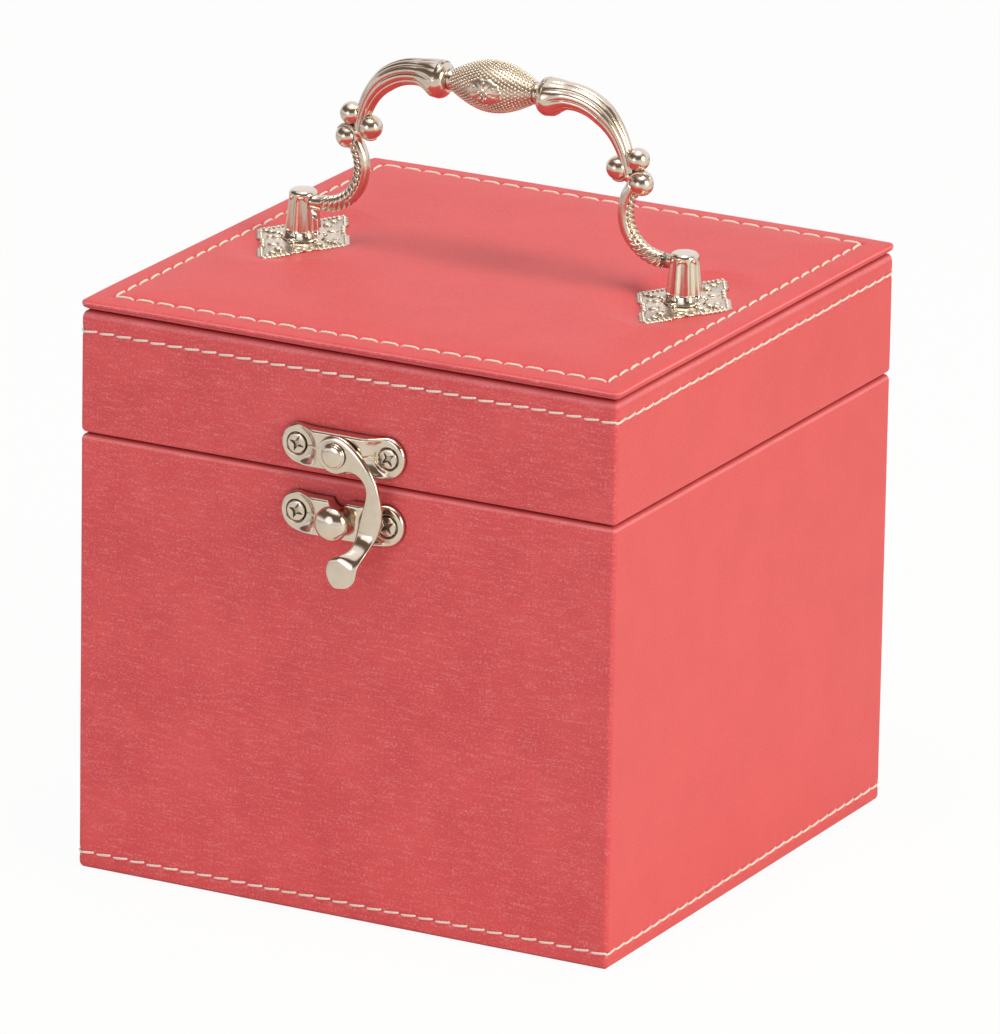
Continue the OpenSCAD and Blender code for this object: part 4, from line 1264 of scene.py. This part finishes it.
class BOX_OT_posts(Operator):
    """Makes the fluted posts and their ornamental lozenge plates"""
    bl_idname = "bobbin_box.posts"
    bl_label = "Posts and back plates"

    def execute(self, context):
        for side, name in ((-1, "left"), (1, "right")):
            dress(self.post(name, side), "lid", finish("nickel"), "nickel", name + "_post")
            dress(self.back_plate(name), "lid", finish("pale nickel"), "nickel",
                  name + "_back_plate")
        dress_node("post_screws", finish("nickel"), 0.1 * MM)
        return {"FINISHED"}

    def post(self, name, side):
        """Tapered column with eight round ridges, a rounded shoulder and a keyhole."""
        low, high = corners(name + "_post")
        centre = middle(name + "_post")
        axis_z = joint("handle_fold")["pos_m"][2]
        tall = high.z - low.z
        foot_r, top_r, shoulder = 3.95 * MM, 2.85 * MM, 1.1 * MM
        steps = 40
        levels = [(k / steps) * (tall - shoulder) for k in range(steps + 1)]
        profile = [(4.25 * MM, -0.75 * MM), (4.4 * MM, -0.45 * MM), (4.3 * MM, -0.15 * MM),
                   (4.0 * MM, 0.1 * MM)]
        # the ring at its foot takes the place of the lowest levels
        profile += [(foot_r + (top_r - foot_r) * z / tall, z) for z in levels[3:]]
        upper_r = profile[steps][0]
        for k in range(1, 9):
            a = pi / 2 * k / 8
            profile.append((upper_r - shoulder * 0.9 * (1 - cos(a)),
                            tall - shoulder + shoulder * sin(a)))
        rings = []
        for reach, z in profile:
            ring = []
            for a in around(216):
                flute = 1 - abs(cos(4 * a + 0.3)) ** 4
                start = clamp((z / MM - 0.5 - 0.5 * (1 - flute)) / 0.5)
                stop = clamp(((tall - z) / MM - 0.9 - 0.9 * (1 - flute)) / 0.7)
                r = reach * (0.98 - 0.19 * flute * start * smooth(stop))
                facing = abs((a - (0 if side < 0 else pi) + pi) % (2 * pi) - pi) * r
                # the keyhole, an oval just under the handle's axis
                if hypot(facing / 1.15, (low.z + z - axis_z + 1.2 * MM) / 2.3) < MM:
                    r -= 1.4 * MM
                ring.append(Vector((centre.x + r * cos(a), centre.y + r * sin(a), low.z + z)))
            rings.append(ring)
        parts = Parts()
        parts.skin(rings)
        for a in around(5):
            foot = Vector((cos(a + 0.9), sin(a + 0.9), 0)) * foot_r * 1.12
            parts.ball(Vector((centre.x, centre.y, low.z - 0.45 * MM)) + foot, 0.9 * MM, 20, 0.8)
        return parts.piece(name + "_column")

    def back_plate(self, name):
        """Cast lozenge: beaded border, leaves round the post and a small scroll in each corner."""
        node = name + "_back_plate"
        low, centre, half = corners(node)[0], middle(node), half_size(node)
        border = 1.15 * MM
        half_x, half_y = half.x - border, half.y - border
        base = 0.55 * 2 * half.z
        parts = Parts()

        def at(x, y, lift):
            """Point over the plate, from its middle."""
            return Vector((centre.x + x, centre.y + y, low.z + lift))

        def edge_point(corner, share):
            """Point of the lozenge's edge, for a share of the way from a corner to the next."""
            a, b = corner * pi / 2, (corner + 1) * pi / 2
            return Vector((half_x * (cos(a) * (1 - share) + cos(b) * share),
                           half_y * (sin(a) * (1 - share) + sin(b) * share)))

        teeth, fine = 18, 6
        outline = []
        for corner in range(4):
            for k in range(teeth * fine):
                u = (k + 0.5) / (teeth * fine)
                p = edge_point(corner, u)
                q = edge_point(corner, u + 0.01) - p
                out = Vector((q.y, -q.x)).normalized()
                block = clamp((abs(u - 0.5) - 0.15) / 0.05)
                tooth = 0.30 * (1 if (k % fine) < fine / 2 else 0) * block
                bay = 0.35 * abs(sin(2 * pi * (u - 0.35) / 0.3)) * (1 - block)
                outline.append(p + out * (0.1 + 0.65 * block + tooth + bay) * MM)
        rings = [[at(p.x, p.y, lift) for p in outline] for lift in (0, base * 0.8)]
        rings += [[at(p.x * share, p.y * share, lift) for p in outline]
                  for share, lift in ((0.98, base), (0.93, base), (0.90, base * 0.6),
                                      (0.6, base * 0.6), (0.3, base * 0.7), (0.05, base))]
        parts.skin(rings)
        for corner in range(4):
            for k in range(teeth):
                if abs((k + 0.5) / teeth - 0.5) < 0.17:
                    continue
                p = edge_point(corner, (k + 0.25) / teeth)
                parts.ball(at(p.x * 1.02, p.y * 1.02, base * 0.95), 0.36 * MM, 10, 0.9)
            for u in (0.40, 0.5, 0.60):
                p = edge_point(corner, u)
                parts.ball(at(p.x * 0.98, p.y * 0.98, base), 0.6 * MM, 12, 0.7)
        for a in around(8, 0.5):
            reach = 1 / sqrt((cos(a) / half_x) ** 2 + (sin(a) / half_y) ** 2)
            for share, size in ((0.52, 1.25), (0.66, 0.85), (0.76, 0.5)):
                p = Vector((cos(a), sin(a))) * reach * share
                if abs(p.x) / half_x + abs(p.y) / half_y < 0.86:
                    parts.ball(at(p.x, p.y, base * 0.6), size * MM, 14, 0.4)
        for corner in range(4):
            a = corner * pi / 2
            tip = Vector((half_x * cos(a), half_y * sin(a)))
            for share, size in ((0.60, 1.0), (0.76, 0.8), (0.89, 0.55)):
                parts.ball(at(tip.x * share, tip.y * share, base * 0.8), size * MM, 14, 0.6)
        return parts.piece(name + "_lozenge")


class BOX_OT_hinges(Operator):
    """Dresses the two rear hinges, their pins and screws"""
    bl_idname = "bobbin_box.hinges"
    bl_label = "Hinges"

    def execute(self, context):
        for side in ("left", "right"):
            for part in ("base_leaf", "lid_leaf"):
                dress_node(f"{side}_hinge_{part}", finish("nickel"), 0.12 * MM)
            dress_node(f"{side}_hinge_pin", finish("nickel"), 0.08 * MM)
        for node in ("base_hinge_screws", "lid_hinge_screws"):
            dress_node(node, finish("cast nickel"), 0.05 * MM)
        return {"FINISHED"}


class BOX_OT_lining(Operator):
    """Dresses the flock linings, the well's dividers and the tray's rails"""
    bl_idname = "bobbin_box.lining"
    bl_label = "Linings"

    def execute(self, context):
        for node in ("base_lining", "lid_lining"):
            dress_node(node, finish("flock"))
        for node in ("long_divider", "cross_divider", "tray_rails"):
            dress_node(node, finish("flock"), 0.3 * MM)
        return {"FINISHED"}


class BOX_OT_tray(Operator):
    """Dresses the bobbin tray, its dividers and its ribbon tabs"""
    bl_idname = "bobbin_box.tray"
    bl_label = "Tray"

    def execute(self, context):
        for node in ("tray_body", "tray_dividers"):
            dress_node(node, finish("flock"), 0.35 * MM)
        dress_node("tray_lining", finish("flock"))
        dress_node("tray_tabs", finish("ribbon"), 0.1 * MM)
        return {"FINISHED"}


OPERATORS = (BOX_OT_stage, BOX_OT_base_skin, BOX_OT_lid_skin, BOX_OT_top_panel, BOX_OT_clasp,
             BOX_OT_handle, BOX_OT_posts, BOX_OT_hinges, BOX_OT_lining, BOX_OT_tray)


class BOX_PT_panel(Panel):
    """Sizes and colours of the bobbin box, and a button for each group of pieces"""
    bl_idname = "BOX_PT_panel"
    bl_label = "Bobbin Box"
    bl_space_type = "VIEW_3D"
    bl_region_type = "UI"
    bl_category = "Bobbin Box"

    def draw(self, context):
        layout = self.layout
        scene = context.scene
        for settings in (scene.box_leather, scene.box_metal, scene.box_lining, scene.box_stage):
            column = layout.column(align=True)
            for key in settings.__annotations__:
                column.prop(settings, key)
        for operator in OPERATORS:
            layout.operator(operator.bl_idname)


SETTINGS = {"box_leather": LeatherSettings, "box_metal": MetalSettings,
            "box_lining": LiningSettings, "box_stage": StageSettings}


def register():
    for group in SETTINGS.values():
        bpy.utils.register_class(group)
    for kind in (*OPERATORS, BOX_PT_panel):
        bpy.utils.register_class(kind)
    for key, group in SETTINGS.items():
        setattr(bpy.types.Scene, key, PointerProperty(type=group))


def unregister():
    for key in SETTINGS:
        delattr(bpy.types.Scene, key)
    for kind in (BOX_PT_panel, *reversed(OPERATORS)):
        bpy.utils.unregister_class(kind)
    for group in SETTINGS.values():
        bpy.utils.unregister_class(group)


def main():
    """Makes the whole box and its stage."""
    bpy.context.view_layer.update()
    register()
    for operator in OPERATORS:
        group, name = operator.bl_idname.split(".")
        getattr(getattr(bpy.ops, group), name)()


if __name__ == "__main__":
    main()
